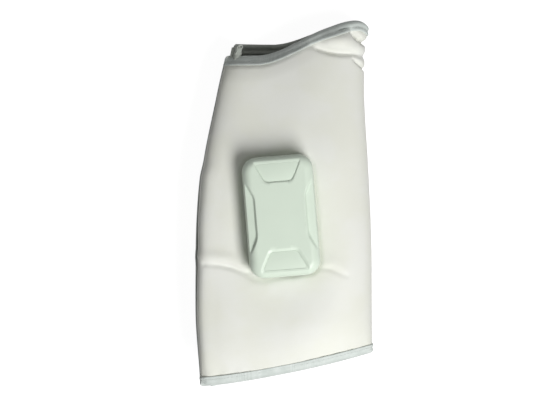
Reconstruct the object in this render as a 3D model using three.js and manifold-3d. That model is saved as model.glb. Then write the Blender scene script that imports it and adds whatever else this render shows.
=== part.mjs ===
// Air compression leg massager, lying on its back with the control pod uppermost.
// A padded sleeve wraps the lower leg: each half has an outer cover, two air bladders and a lining,
// and its edges are bound with tape. The front half folds open along its right-hand side, and its
// left edge laps over the back half, where a hook strip grips a loop strip.
// Millimetres. X points to the fold, Y along the sleeve to its narrow end, Z up through the pod.
import * as THREE from "three";
import { mergeVertices } from "three/addons/utils/BufferGeometryUtils.js";
import Module from "manifold-3d";

const wasm = await Module();
wasm.setup();

// Sleeve outline, measured from the middle of the pod
const reachDown = 157; // to the low corner of the wide end
const reachUp = 181; // to the peak of the narrow end
const halfWidth = 85; // widest reach, at the fold
const sleeveHeight = 72;
const wideEndRise = 31; // the wide end climbs from the lap to the fold
const frontMouthDrop = 33; // how far the front's narrow end lies below the peak at the lap
const backMouthDrop = 21;
const frontClimbStart = -24; // where across the sleeve the narrow end starts to climb
const backClimbStart = -5;
const peakPlace = 70; // where across the sleeve the narrow end peaks
const peakCurl = 13; // how far the edge falls again from the peak to the fold
const topSideShare = 0.6; // how high up its side the front starts to lie as its top does
const restFlat = 0.5; // the underside is pressed flat this deep
const endLift = 2.2; // the bound ends turn up clear of the floor
const endLiftRun = 24;

// Reach of the section at even steps from the wide end to the narrow end
const lapReachShares = [0.853, 0.904, 0.914, 0.853, 0.688, 0.53];
const foldReachShares = [1, 0.992, 0.974, 0.945, 0.912, 0.929];
const heightShares = [0.97, 1, 1, 0.97, 0.86, 0.72];
const sectionPower = 0.8; // a superellipse, fuller at its sides than an ellipse
const wideEndPower = 1.55;

// Layers of the wall
const coverWall = 2.2;
const liningWall = 1.2;
const bladderWall = 5;
const layerGap = 0.3;
const tapeWall = 0.7;
const tapeReach = 6;
const hookWall = 1.4;
const loopWall = 1.4;
const lapGap = 0.7;
const foldGap = 0.3;
const plumpStart = 10; // from the bound end to where the padding starts
const plumpFull = 24;
const weldShare = 0.385; // along the sleeve, where the calf and ankle bladders are welded apart
const weldHalfGap = 2;
const thinWall = coverWall + layerGap + liningWall;
const tapeStack = layerGap + tapeWall;
const tuckDepth = thinWall + 2 * tapeStack + lapGap;
const stripStack = layerGap + hookWall + lapGap + loopWall + layerGap;
const lapBulge = thinWall + stripStack - tuckDepth;
const overlapAngle = Math.PI / 6; // how far the back's tucked edge goes on past the side

// Pod
const podHalfWidth = 32.7;
const podHalfLength = 55.5;
const podCorner = 14;
const leastCorner = 1; // where an inset outline would run out of corner
const podHeight = 28;
const podTurn = THREE.MathUtils.degToRad(4.7);
const podSink = 5.5; // the pod presses this far into the padding
const podSeatMargin = 8;
const podSeatRun = 26;
const podGap = 0.3;
const shellWall = 2.2;
const edgeWide = 8.6; // the rounded edge of the front shell, across and down
const edgeTall = 9;
const shellDraft = 0.4;
const backShellHeight = 8.4;
const backShellRound = 2.5;
const gasketWall = 0.8;
const gasketWide = 1.2;
const fit = 0.3;
const overrun = 4;

// Facets of the front shell and the keys that fill two of them
const facetStep = 1.5;
const facetWallLean = 0.8; // how far a facet's wall leans out for each millimetre up
const sideFacetInner = 24;
const sideFacetOuter = 34;
const sideFacetInnerHalf = 18;
const sideFacetOuterHalf = 39;
const sideFacetSlope = 0.25;
const keyInner = 32;
const keyRim = 7; // from the key's outer edge to the end of the pod
const keyOuter = podHalfLength - keyRim;
const keyInnerHalf = 12.2;
const keyOuterHalf = 20.3;
const keySlope = 0.078;
const facetFillet = 3;
const keyClearance = 0.35;
const keyFlange = 1.2;
const keyFlangeWall = 1;
const keyTravel = 0.8;
const keyStemRadius = 3;
const keyCentre = 40;

// Board and its parts
const boardWall = 1.2;
const boardHeight = 14.3; // its underside above the pod's foot
const boardInset = 3.1;
const boardWindow = 26; // width of the cut-out beside the pump
const boardTab = 33; // the tabs at both ends start here
const postRadius = 2;
const postAcrossPlaces = [24, -4.25];
const postAlong = 31;
const switchSize = 6;
const switchHeight = 3.5;
const plungerRadius = 1.7;
const plungerHeight = 0.9;
const socketWide = 9;
const socketTall = 3.2;
const socketDeep = 7.8;
const socketWall = 0.35;
const socketTongue = 0.7;
const socketRecess = 1.2;

// Battery, pump, valves and air line
const batteryWide = 27;
const batteryLong = 52;
const batteryTall = 8.6;
const batteryPlace = 14.5;
const batteryRound = 2;
const pumpRadius = 10;
const pumpPlace = -17;
const motorLong = 28;
const motorEnd = 24;
const motorBossRadius = 4;
const motorBossLong = 1.5;
const motorBevel = 0.45;
const pumpHeadLong = 16.7;
const pumpShoulder = 7;
const pumpRim = 8;
const nozzleRadius = 2;
const nozzleLong = 3;
const boreRadius = 1;
const teeSize = 7;
const teeLong = 5;
const valvePlace = -16;
const valveNear = 34;
const valveFar = 50;
const valveWide = 10;
const valveBlockLong = 6;
const coilRadius = 4.9;
const hoseRadius = 1.5;
const calfHoseRadius = 2;
const nipplePlace = 45;
const nippleRadius = 2.5;
const nippleFlangeRadius = 4.5;
const nippleFlangeWall = 1;
const nippleReach = 1; // into the bladder below the backing plate

// Clamp: the backing plate behind the fabric and four screws
const plateHalfWidth = 30;
const plateHalfLength = 49.5;
const chamberMargin = 3; // how far the front chambers reach past the plate
const plateCorner = 10;
const plateWall = 2.8;
const screwAcross = 25.5;
const screwAlong = 44;
const screwRadius = 1.3;
const screwHeadRadius = 2.7;
const screwHeadWall = 1.5;
const screwBite = 12; // thread above the pod's foot
const bossRadius = 3.2;

// Sampling
const frontColumns = 24;
const backColumns = 22;
const cornerSteps = 5;
const smallSteps = 3;
const edgeSteps = 7;
const roundSides = 16;
const smallSides = 12;
const mostFilletShare = 0.4; // of a side, that one rounded corner may take
const leastMitreShare = Math.SQRT1_2; // keeps the outset of a sharp corner short
const mostTapeShare = 0.85; // of the outermost cell of the wall, that its tape may cover

const { clamp, lerp, smoothstep } = THREE.MathUtils;
const nominalLength = reachDown + reachUp - frontMouthDrop / 2;

// Solids, joins and cuts

function toSolid(geometry) {
  const bare = geometry.clone();
  bare.deleteAttribute("normal");
  bare.deleteAttribute("uv");
  const merged = mergeVertices(bare, 1e-4);
  return new wasm.Manifold(
    new wasm.Mesh({
      numProp: 3,
      vertProperties: new Float32Array(merged.attributes.position.array),
      triVerts: new Uint32Array(merged.index.array),
    }),
  );
}

function toGeometry(solid) {
  const mesh = solid.getMesh();
  const geometry = new THREE.BufferGeometry();
  geometry.setAttribute("position", new THREE.BufferAttribute(new Float32Array(mesh.vertProperties), 3));
  geometry.setIndex(new THREE.BufferAttribute(new Uint32Array(mesh.triVerts), 1));
  return geometry;
}

function cut(body, ...tools) {
  return toGeometry(tools.reduce((left, tool) => left.subtract(toSolid(tool)), toSolid(body)));
}

function join(body, ...others) {
  return toGeometry(others.reduce((sum, other) => sum.add(toSolid(other)), toSolid(body)));
}

function facingOut(geometry) {
  const points = geometry.attributes.position;
  const index = geometry.index.array;
  const corner = (place) => new THREE.Vector3().fromBufferAttribute(points, index[place]);
  let volume = 0;
  for (let i = 0; i < index.length; i += 3) {
    volume += corner(i).dot(corner(i + 1).cross(corner(i + 2)));
  }
  if (volume < 0) {
    for (let i = 0; i < index.length; i += 3) {
      [index[i + 1], index[i + 2]] = [index[i + 2], index[i + 1]];
    }
  }
  return geometry;
}

function closedMesh(points, faces) {
  const geometry = new THREE.BufferGeometry().setFromPoints(points);
  geometry.setIndex(faces);
  return facingOut(geometry);
}

// A solid through rings of equal count; the end caps follow the ring's own outline
function loft(rings, outline) {
  const count = rings[0].length;
  const points = rings.flat();
  const faces = [];
  for (let ring = 0; ring + 1 < rings.length; ring += 1) {
    for (let i = 0; i < count; i += 1) {
      const a = ring * count + i;
      const b = ring * count + ((i + 1) % count);
      faces.push(a, b, b + count, a, b + count, a + count);
    }
  }
  const { area, triangulateShape } = THREE.ShapeUtils;
  const last = (rings.length - 1) * count;
  for (const [a, b, c] of triangulateShape(outline, [])) {
    const sameWay = area([outline[a], outline[b], outline[c]]) * area(outline) > 0;
    const [first, second] = sameWay ? [a, b] : [b, a];
    faces.push(c, second, first);
    faces.push(last + first, last + second, last + c);
  }
  return closedMesh(points, faces);
}

function roundedPoints(halfX, halfY, radius, steps = cornerSteps) {
  const points = [];
  for (let corner = 0; corner < 4; corner += 1) {
    const signX = corner === 0 || corner === 3 ? 1 : -1;
    const signY = corner < 2 ? 1 : -1;
    for (let step = 0; step <= steps; step += 1) {
      const angle = (corner + step / steps) * (Math.PI / 2);
      const x = signX * (halfX - radius) + radius * Math.cos(angle);
      const y = signY * (halfY - radius) + radius * Math.sin(angle);
      points.push(new THREE.Vector2(x, y));
    }
  }
  return points;
}

function lift(outline, heightAt) {
  return outline.map(({ x, y }) => new THREE.Vector3(x, y, heightAt(x, y)));
}

function slab(outline, bottom, top) {
  const bottomAt = typeof bottom === "function" ? bottom : () => bottom;
  const topAt = typeof top === "function" ? top : () => top;
  return loft([lift(outline, bottomAt), lift(outline, topAt)], outline);
}

function box(sizeX, sizeY, sizeZ, x, y, z) {
  return new THREE.BoxGeometry(sizeX, sizeY, sizeZ).translate(x, y, z + sizeZ / 2);
}

function rod(radius, bottom, top, x = 0, y = 0, sides = roundSides) {
  const lying = new THREE.CylinderGeometry(radius, radius, top - bottom, sides);
  return lying.rotateX(Math.PI / 2).translate(x, y, (top + bottom) / 2);
}

// A solid of revolution about a line along Y; the profile lists radius and place along the line
function turnedAlongY(profile, x, z) {
  const points = profile.map(([radius, place]) => new THREE.Vector2(radius, place));
  return facingOut(mergeVertices(bareLathe(points), 1e-4)).translate(x, 0, z);
}

function bareLathe(points) {
  const lathe = new THREE.LatheGeometry(points, roundSides);
  lathe.deleteAttribute("normal");
  lathe.deleteAttribute("uv");
  return lathe;
}

// Polygon with its inner corners rounded, and the same polygon moved outwards
function filleted(corners, radius) {
  const points = [];
  corners.forEach((corner, i) => {
    const before = corners[(i + corners.length - 1) % corners.length];
    const after = corners[(i + 1) % corners.length];
    const towards = (other) => {
      const side = other.clone().sub(corner);
      return corner.clone().add(side.setLength(Math.min(radius, mostFilletShare * side.length())));
    };
    const start = towards(before);
    const end = towards(after);
    const curve = new THREE.QuadraticBezierCurve(start, corner, end);
    points.push(...curve.getPoints(smallSteps));
  });
  return points;
}

function outset(outline, distance) {
  const outwards = THREE.ShapeUtils.isClockWise(outline) ? -1 : 1;
  const distanceAt = typeof distance === "function" ? distance : () => distance;
  return outline.map((point, i) => {
    const before = outline[(i + outline.length - 1) % outline.length];
    const after = outline[(i + 1) % outline.length];
    const first = point.clone().sub(before).normalize();
    const second = after.clone().sub(point).normalize();
    const bisector = first.clone().add(second).normalize();
    const normal = new THREE.Vector2(bisector.y, -bisector.x).multiplyScalar(outwards);
    const stretch = 1 / Math.max(leastMitreShare, bisector.dot(first));
    return point.clone().addScaledVector(normal, distanceAt(point) * stretch);
  });
}

// The sleeve's surface

function alongSleeve(shares, y) {
  const last = shares.length - 1;
  const place = clamp((y + reachDown) / (reachDown + reachUp), 0, 1) * last;
  const index = Math.min(Math.floor(place), last - 1);
  const t = place - index;
  const [a, b, c, d] = [-1, 0, 1, 2].map((step) => shares[clamp(index + step, 0, last)]);
  return b + 0.5 * t * (c - a + t * (2 * a - 5 * b + 4 * c - d + t * (3 * (b - c) + d - a)));
}

function signedPower(value, power) {
  return Math.sign(value) * Math.abs(value) ** power;
}

function middleHeight(y) {
  return (sleeveHeight * alongSleeve(heightShares, y) + restFlat) / 2 - restFlat;
}

function sectionPoint(y, angle, depth) {
  const lap = halfWidth * alongSleeve(lapReachShares, y);
  const fold = halfWidth * alongSleeve(foldReachShares, y);
  const halfTall = middleHeight(y) + restFlat;
  const x = (fold - lap) / 2 + ((fold + lap) / 2 - depth) * signedPower(Math.cos(angle), sectionPower);
  const z = middleHeight(y) + (halfTall - depth) * signedPower(Math.sin(angle), sectionPower);
  return new THREE.Vector3(x, y, z);
}

function wideEnd(x) {
  return wideEndRise * clamp((x + halfWidth) / (2 * halfWidth), 0, 1) ** wideEndPower - reachDown;
}

function narrowEnd(half, x) {
  const curl = Math.max(0, (x - peakPlace) / (halfWidth - peakPlace)) ** 2;
  return reachUp - half.mouthDrop * (1 - smoothstep(x, half.climbStart, peakPlace)) - peakCurl * curl;
}

// Distance from the pod's outline, seen from above
function outsidePod(x, y) {
  const acrossPod = Math.abs(x * Math.cos(podTurn) + y * Math.sin(podTurn));
  const alongPod = Math.abs(y * Math.cos(podTurn) - x * Math.sin(podTurn));
  const overX = Math.max(0, acrossPod - podHalfWidth + podCorner);
  const overY = Math.max(0, alongPod - podHalfLength + podCorner);
  return Math.hypot(overX, overY) - podCorner;
}

// Creases of the front: each runs between two places and is this deep and wide
const creaseShares = [
  { from: [-0.94, -0.25], to: [-0.4, -0.34], depth: 0.045, width: 0.08 },
  { from: [0.45, -0.31], to: [0.72, -0.37], depth: 0.03, width: 0.07 },
  { from: [0.5, 0.845], to: [0.9, 0.815], depth: 0.045, width: 0.07 },
];

function creaseDepth(x, y) {
  const place = new THREE.Vector3(x, y, 0);
  const nearest = new THREE.Vector3();
  return creaseShares.reduce((sum, crease) => {
    const from = new THREE.Vector3(crease.from[0] * halfWidth, crease.from[1] * reachUp, 0);
    const to = new THREE.Vector3(crease.to[0] * halfWidth, crease.to[1] * reachUp, 0);
    new THREE.Line3(from, to).closestPointToPoint(place, true, nearest);
    const away = nearest.distanceTo(place) / (crease.width * halfWidth);
    return sum + crease.depth * halfWidth * Math.exp(-away * away);
  }, 0);
}

const seatHeight = sleeveHeight - podSink;

function rowShares(lowCells, highCells) {
  const low = plumpFull / nominalLength;
  const gap = weldHalfGap / nominalLength;
  const rows = [0, plumpStart / nominalLength];
  for (let i = 0; i <= lowCells; i += 1) {
    rows.push(lerp(low, weldShare - gap, i / lowCells));
  }
  for (let i = 0; i <= highCells; i += 1) {
    rows.push(lerp(weldShare + gap, 1 - low, i / highCells));
  }
  rows.push(1 - plumpStart / nominalLength, 1);
  return rows;
}

function evenShares(cells) {
  return Array.from({ length: cells + 1 }, (_, i) => i / cells);
}

// First column of the front half that lies this far from the pod's middle, towards the lap
function columnPast(distance) {
  let column = 0;
  while (column < frontColumns && sectionPoint(0, (Math.PI * column) / frontColumns, 0).x > -distance) {
    column += 1;
  }
  return column;
}

const plateReach = plateHalfWidth * Math.cos(podTurn) + plateHalfLength * Math.sin(podTurn);
// The front half turns from the fold over the top to the lap. The back half turns the other way,
// under the leg, and is tucked in behind the lap. Columns go round the leg and rows along it.
const front = {
  turn: Math.PI,
  mouthDrop: frontMouthDrop,
  climbStart: frontClimbStart,
  columns: evenShares(frontColumns),
  rows: rowShares(5, 9),
  bladderColumns: [2, columnPast(plateReach + chamberMargin)],
  weldRow: 7,
  plumpEndShare: 15 / frontColumns,
  thinStartShare: 19 / frontColumns,
};
const back = {
  turn: -Math.PI - overlapAngle,
  mouthDrop: backMouthDrop,
  climbStart: backClimbStart,
  columns: evenShares(backColumns),
  rows: rowShares(3, 5),
  bladderColumns: [2, 13],
  weldRow: 5,
  plumpEndShare: 13 / backColumns,
  thinStartShare: 16 / backColumns,
  tuckedShare: 18 / backColumns,
};
// Columns and rows that the hook and loop strips take; they end where the lap steps in
const stripRows = [1, 12];
const hookColumns = [20, 23];
const loopRows = [1, 8];
const loopColumns = [19, 21];

function layerShift(half, u, v) {
  if (half === back) return tuckDepth * smoothstep(u, back.thinStartShare, back.tuckedShare);
  const besideStrips = 1 - smoothstep(v, front.rows[stripRows[1]], front.rows[stripRows[1] + 1]);
  return -lapBulge * besideStrips * smoothstep(u, front.plumpEndShare, front.thinStartShare);
}

function sleevePoint(half, u, v, depth) {
  const angle = half.turn * u;
  let y = lerp(-reachDown, reachUp, v);
  let x = 0;
  for (let pass = 0; pass < 4; pass += 1) {
    x = sectionPoint(y, angle, 0).x;
    y = lerp(wideEnd(x), narrowEnd(half, x), v);
  }
  const point = sectionPoint(y, angle, depth + layerShift(half, u, v));
  if (half === front) {
    const skin = sectionPoint(y, angle, 0);
    const pressed = 1 - smoothstep(outsidePod(x, y), podSeatMargin, podSeatMargin + podSeatRun);
    const upward = smoothstep(Math.sin(angle), 0, topSideShare);
    point.z += pressed * (seatHeight - skin.z) * upward - creaseDepth(x, y) * upward * (1 - pressed);
    point.z = Math.max(point.z, middleHeight(y) + foldGap / 2);
    return point;
  }
  const fromEnd = Math.min(y - wideEnd(x), narrowEnd(half, x) - y);
  const turnUp = endLift * (1 - smoothstep(fromEnd, 0, endLiftRun));
  point.z += turnUp * Math.max(0, -Math.sin(angle));
  if (Math.cos(angle) > 0) point.z = Math.min(point.z, middleHeight(y) - foldGap / 2);
  point.z = Math.max(point.z, 0);
  return point;
}

function plumpness(half, v, u) {
  const fromWide = smoothstep(v, half.rows[1], half.rows[2]);
  const fromNarrow = 1 - smoothstep(v, half.rows.at(-3), half.rows.at(-2));
  return fromWide * fromNarrow * (1 - smoothstep(u, half.plumpEndShare, half.thinStartShare));
}

function liningDepth(half, u, v) {
  return coverWall + layerGap + (bladderWall + layerGap) * plumpness(half, v, u);
}

// A layer of the wall between two depths, closed at all four edges
function layer(half, columnRange, rowRange, outerDepth, innerDepth) {
  const columns = half.columns.slice(columnRange[0], columnRange[1] + 1);
  const rows = half.rows.slice(rowRange[0], rowRange[1] + 1);
  const points = [];
  for (const depthAt of [outerDepth, innerDepth]) {
    for (const u of columns) {
      for (const v of rows) points.push(sleevePoint(half, u, v, depthAt(u, v)));
    }
  }
  const wide = rows.length;
  const inner = columns.length * wide;
  const faces = [];
  const quad = (a, b, c, d) => faces.push(a, b, c, a, c, d);
  for (let i = 0; i + 1 < columns.length; i += 1) {
    for (let j = 0; j + 1 < wide; j += 1) {
      const a = i * wide + j;
      quad(a, a + wide, a + wide + 1, a + 1);
      quad(inner + a, inner + a + 1, inner + a + wide + 1, inner + a + wide);
    }
    const low = i * wide;
    const high = low + wide - 1;
    quad(low, inner + low, inner + low + wide, low + wide);
    quad(high, high + wide, inner + high + wide, inner + high);
  }
  for (let j = 0; j + 1 < wide; j += 1) {
    const far = inner - wide + j;
    quad(j, j + 1, inner + j + 1, inner + j);
    quad(far, inner + far, inner + far + 1, far + 1);
  }
  return closedMesh(points, faces);
}

function wholeLayer(half, outerDepth, innerDepth) {
  return layer(half, [0, half.columns.length - 1], [0, half.rows.length - 1], outerDepth, innerDepth);
}

function cover(half) {
  return wholeLayer(half, () => 0, () => coverWall);
}

function lining(half) {
  const outer = (u, v) => liningDepth(half, u, v);
  return wholeLayer(half, outer, (u, v) => outer(u, v) + liningWall);
}

function bladder(half, rowRange) {
  const inner = (u, v) => liningDepth(half, u, v) - layerGap;
  return layer(half, half.bladderColumns, rowRange, () => coverWall + layerGap, inner);
}

// Tape folded round an edge: a U section, given as distance in from the edge and depth
function tapeSection() {
  const outer = -tapeStack;
  const inner = thinWall + tapeStack;
  return [
    [tapeReach, outer],
    [-tapeStack, outer],
    [-tapeStack, inner],
    [tapeReach, inner],
    [tapeReach, thinWall + layerGap],
    [-layerGap, thinWall + layerGap],
    [-layerGap, -layerGap],
    [tapeReach, -layerGap],
  ];
}

function tape(stations, edgeAt, besideAt) {
  const section = tapeSection();
  const rings = stations.map((station) =>
    section.map(([inwards, depth]) => {
      const edge = edgeAt(station, depth);
      const away = besideAt(station, depth).sub(edge);
      const reach = Math.min(Math.abs(inwards), mostTapeShare * away.length());
      return edge.addScaledVector(away.setLength(reach), Math.sign(inwards));
    }),
  );
  return loft(rings, section.map(([inwards, depth]) => new THREE.Vector2(inwards, depth)));
}

function endTape(half, edgeRow, besideRow) {
  const at = (row) => (u, depth) => sleevePoint(half, u, half.rows.at(row), depth);
  return tape(half.columns, at(edgeRow), at(besideRow));
}

function sideTape(half) {
  const start = (tapeReach + lapGap) / nominalLength;
  const stations = [start, ...half.rows.slice(1, -1), 1 - start];
  const at = (column) => (v, depth) => sleevePoint(half, half.columns.at(column), v, depth);
  return tape(stations, at(-1), at(-2));
}

function hookStrip() {
  const outer = () => thinWall + layerGap;
  return layer(front, hookColumns, stripRows, outer, () => outer() + hookWall);
}

function loopStrip() {
  return layer(back, loopColumns, loopRows, () => -layerGap - loopWall, () => -layerGap);
}

// The pod, in its own frame: its foot is at zero height and its middle at the origin

function podRing(inset) {
  const radius = Math.max(podCorner - inset, leastCorner);
  return roundedPoints(podHalfWidth - inset, podHalfLength - inset, radius);
}

// Outer form of the front shell; a wall larger than zero gives the form of its hollow
function shellForm(wall, foot) {
  const shoulder = podHeight - edgeTall;
  const rings = [lift(podRing(wall), () => foot)];
  for (let step = 0; step <= edgeSteps; step += 1) {
    const angle = (step / edgeSteps) * (Math.PI / 2);
    const inset = shellDraft + edgeWide * (1 - Math.cos(angle)) + wall;
    rings.push(lift(podRing(inset), () => shoulder + edgeTall * Math.sin(angle) - wall));
  }
  return loft(rings, podRing(wall));
}

const facetHeight = podHeight - facetStep;

function keyFloor(x, y) {
  return facetHeight - keySlope * (Math.abs(y) - keyInner);
}

function sideFloor(x) {
  return facetHeight - sideFacetSlope * (Math.abs(x) - sideFacetInner);
}

function mirrored(points, signX, signY) {
  return points.map(([x, y]) => new THREE.Vector2(signX * x, signY * y));
}

function keyOutline(sign, outer = keyOuter) {
  const flare = (keyOuterHalf - keyInnerHalf) / (keyOuter - keyInner);
  const outerHalf = keyInnerHalf + flare * (outer - keyInner);
  const corners = [
    [-keyInnerHalf, keyInner],
    [keyInnerHalf, keyInner],
    [outerHalf, outer],
    [-outerHalf, outer],
  ];
  return filleted(mirrored(corners, 1, sign), facetFillet);
}

function sideFacetOutline(sign) {
  const corners = [
    [sideFacetInner, -sideFacetInnerHalf],
    [sideFacetInner, sideFacetInnerHalf],
    [sideFacetOuter, sideFacetOuterHalf],
    [sideFacetOuter + overrun, sideFacetOuterHalf],
    [sideFacetOuter + overrun, -sideFacetOuterHalf],
    [sideFacetOuter, -sideFacetOuterHalf],
  ];
  return filleted(mirrored(corners, sign, 1), facetFillet);
}

// Cutter for a sunk facet: a sloping floor and walls that lean outwards
function facetCutter(outline, floorAt) {
  const top = podHeight + fit;
  const flared = outset(outline, ({ x, y }) => facetWallLean * (top - floorAt(x, y)));
  const foot = lift(outline, floorAt);
  const rim = flared.map(({ x, y }) => new THREE.Vector3(x, y, top));
  return loft([foot, rim], outline);
}

function facetPad(outline, floorAt) {
  const wider = outset(outline, shellWall);
  return slab(wider, (x, y) => floorAt(x, y) - shellWall, podHeight);
}

const screwPlaces = [
  [screwAcross, screwAlong],
  [-screwAcross, screwAlong],
  [-screwAcross, -screwAlong],
  [screwAcross, -screwAlong],
];
const frontShellFoot = backShellHeight + layerGap + gasketWall + layerGap;
const floorTop = shellWall + fit;
const boardTop = boardHeight + boardWall;

function podFrontShell() {
  const outer = toSolid(shellForm(0, frontShellFoot));
  const hollow = toSolid(shellForm(shellWall, frontShellFoot - overrun));
  const facets = [];
  const pads = [];
  for (const sign of [1, -1]) {
    facets.push(facetCutter(sideFacetOutline(sign), sideFloor));
    facets.push(facetCutter(outset(keyOutline(sign, podHalfLength + overrun), keyClearance), keyFloor));
    pads.push(facetPad(sideFacetOutline(sign), sideFloor));
    pads.push(facetPad(outset(keyOutline(sign), keyFlange), keyFloor));
  }
  const openHollow = pads.reduce((left, pad) => left.subtract(toSolid(pad)), hollow);
  let shell = toGeometry(outer.subtract(openHollow));
  const roof = podHeight - edgeTall;
  for (const [x, y] of screwPlaces) {
    shell = join(shell, rod(bossRadius, floorTop, roof + edgeTall / 2, x, y));
    facets.push(rod(screwRadius + fit, floorTop - overrun, screwBite + fit, x, y));
  }
  for (const sign of [1, -1]) {
    facets.push(slab(outset(keyOutline(sign), keyClearance), frontShellFoot, podHeight + overrun));
  }
  const slotWide = socketWide + 4 * fit;
  const slotTall = socketTall + 2 * fit;
  facets.push(box(slotWide, 2 * overrun, slotTall, 0, podHalfLength, boardTop + fit / 2));
  return cut(shell, ...facets);
}

function podBackShell() {
  const rings = [];
  for (let step = 0; step <= smallSteps; step += 1) {
    const angle = (step / smallSteps) * (Math.PI / 2);
    const inset = backShellRound * (1 - Math.sin(angle));
    rings.push(lift(podRing(inset), () => backShellRound * (1 - Math.cos(angle))));
  }
  rings.push(lift(podRing(0), () => backShellHeight));
  const tray = loft(rings, podRing(0));
  const hollow = slab(podRing(shellWall), shellWall, backShellHeight + overrun);
  const holes = screwPlaces.map(([x, y]) => rod(screwRadius + fit, -overrun, floorTop + overrun, x, y));
  for (const sign of [1, -1]) {
    holes.push(rod(nippleRadius + fit, -overrun, floorTop + overrun, valvePlace, sign * nipplePlace));
  }
  const posts = postAcrossPlaces.flatMap((x) => [
    rod(postRadius, shellWall / 2, boardHeight - fit, x, postAlong),
    rod(postRadius, shellWall / 2, boardHeight - fit, x, -postAlong),
  ]);
  return join(cut(tray, hollow, ...holes), ...posts);
}

function podGasket() {
  const inset = (shellWall - gasketWide) / 2;
  const foot = backShellHeight + layerGap;
  const ring = slab(podRing(inset), foot, foot + gasketWall);
  return cut(ring, slab(podRing(inset + gasketWide), foot - overrun, foot + overrun));
}

// A key fills its facet, with a flange that stops it under the shell and a stem over its switch
function key(sign) {
  const outline = keyOutline(sign);
  const flangeTop = (x, y) => keyFloor(x, y) - shellWall - fit;
  const flangeFoot = (x, y) => flangeTop(x, y) - keyFlangeWall;
  const cap = slab(outline, (x, y) => flangeTop(x, y) - keyFlangeWall / 2, keyFloor);
  const flange = slab(outset(outline, keyFlange), flangeFoot, flangeTop);
  const stemFoot = boardTop + fit + switchHeight + plungerHeight + fit + keyTravel;
  const stem = rod(keyStemRadius, stemFoot, flangeTop(0, keyCentre), 0, sign * keyCentre);
  return join(cap, flange, stem);
}

function circuitBoard() {
  const board = slab(podRing(boardInset), boardHeight, boardTop);
  const windowMiddle = -podHalfWidth + boardWindow / 2;
  const window = box(boardWindow, 2 * boardTab, overrun, windowMiddle, 0, boardHeight - fit);
  const notches = screwPlaces.map(([x, y]) => rod(bossRadius + fit, 0, podHeight, x, y));
  return cut(board, window, ...notches);
}

function keySwitch(sign) {
  const foot = boardTop + fit;
  const base = box(switchSize, switchSize, switchHeight, 0, sign * keyCentre, foot);
  const top = foot + switchHeight;
  return join(base, rod(plungerRadius, top - fit, top + plungerHeight, 0, sign * keyCentre));
}

function chargeSocket() {
  const mouth = podHalfLength - socketRecess;
  const outline = roundedPoints(socketWide / 2, socketTall / 2, socketTall / 2 - socketWall);
  const hole = outset(outline, -socketWall);
  const standing = (geometry) => geometry.rotateX(Math.PI / 2);
  const sleeve = standing(slab(outline, -mouth, socketDeep - mouth));
  const hollow = standing(slab(hole, -mouth - overrun, socketDeep - socketWall - mouth));
  const tongueWide = socketWide - socketTall;
  const tongue = box(tongueWide, socketDeep - 2 * fit, socketTongue, 0, mouth - socketDeep / 2, 0);
  const shell = cut(sleeve, hollow);
  const seated = join(shell, tongue.translate(0, -fit / 2, -socketTongue / 2));
  return seated.translate(0, 0, boardTop + fit + socketTall / 2);
}

function batteryCell() {
  const outline = roundedPoints(batteryWide / 2, batteryLong / 2, batteryRound, smallSteps);
  const inner = outset(outline, -batteryRound / 2);
  const top = floorTop + batteryTall;
  const rings = [
    lift(inner, () => floorTop),
    lift(outline, () => floorTop + batteryRound),
    lift(outline, () => top - batteryRound),
    lift(inner, () => top),
  ];
  return loft(rings, outline).translate(batteryPlace, 0, 0);
}

const pumpAxis = floorTop + pumpRadius;
const motorStart = motorEnd - motorLong;
const headEnd = motorStart - fit;
const headStart = headEnd - pumpHeadLong;

function pumpMotor() {
  const profile = [
    [0, motorStart],
    [pumpRadius - motorBevel, motorStart],
    [pumpRadius, motorStart + motorBevel],
    [pumpRadius, motorEnd - motorBossLong],
    [pumpRadius - motorBossLong, motorEnd],
    [motorBossRadius, motorEnd],
    [motorBossRadius, motorEnd + motorBossLong],
    [0, motorEnd + motorBossLong],
  ];
  return turnedAlongY(profile, pumpPlace, pumpAxis);
}

function pumpHead() {
  const nozzleEnd = headStart - nozzleLong;
  const profile = [
    [0, headStart + nozzleLong],
    [boreRadius, headStart + nozzleLong],
    [boreRadius, nozzleEnd],
    [nozzleRadius, nozzleEnd],
    [nozzleRadius, headStart],
    [pumpShoulder, headStart],
    [pumpRim, headStart + nozzleLong],
    [pumpRadius, headStart + nozzleLong],
    [pumpRadius, headEnd],
    [0, headEnd],
  ];
  return turnedAlongY(profile, pumpPlace, pumpAxis);
}

const teeEnd = headStart - nozzleLong - fit;
const teeStart = teeEnd - teeLong;

function teeFitting() {
  const teeMiddle = (teeEnd + teeStart) / 2;
  const block = box(teeSize, teeLong, teeSize, pumpPlace, teeMiddle, pumpAxis - teeSize / 2);
  const through = new THREE.CylinderGeometry(boreRadius, boreRadius, teeLong + overrun, roundSides);
  return cut(block, through.translate(pumpPlace, teeMiddle, pumpAxis));
}

const valveFoot = floorTop + nippleFlangeWall + fit;

function valve(sign) {
  const blockMiddle = valveFar - valveBlockLong / 2;
  const coilLong = valveFar - valveNear - valveBlockLong / 2;
  const block = box(valveWide, valveBlockLong, 2 * coilRadius, valvePlace, blockMiddle, valveFoot);
  const coil = new THREE.CylinderGeometry(coilRadius, coilRadius, coilLong, roundSides);
  coil.translate(valvePlace, valveNear + coilLong / 2, valveFoot + coilRadius);
  const body = join(block, coil);
  return sign > 0 ? body : body.rotateZ(Math.PI).translate(2 * valvePlace, 0, 0);
}

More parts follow.
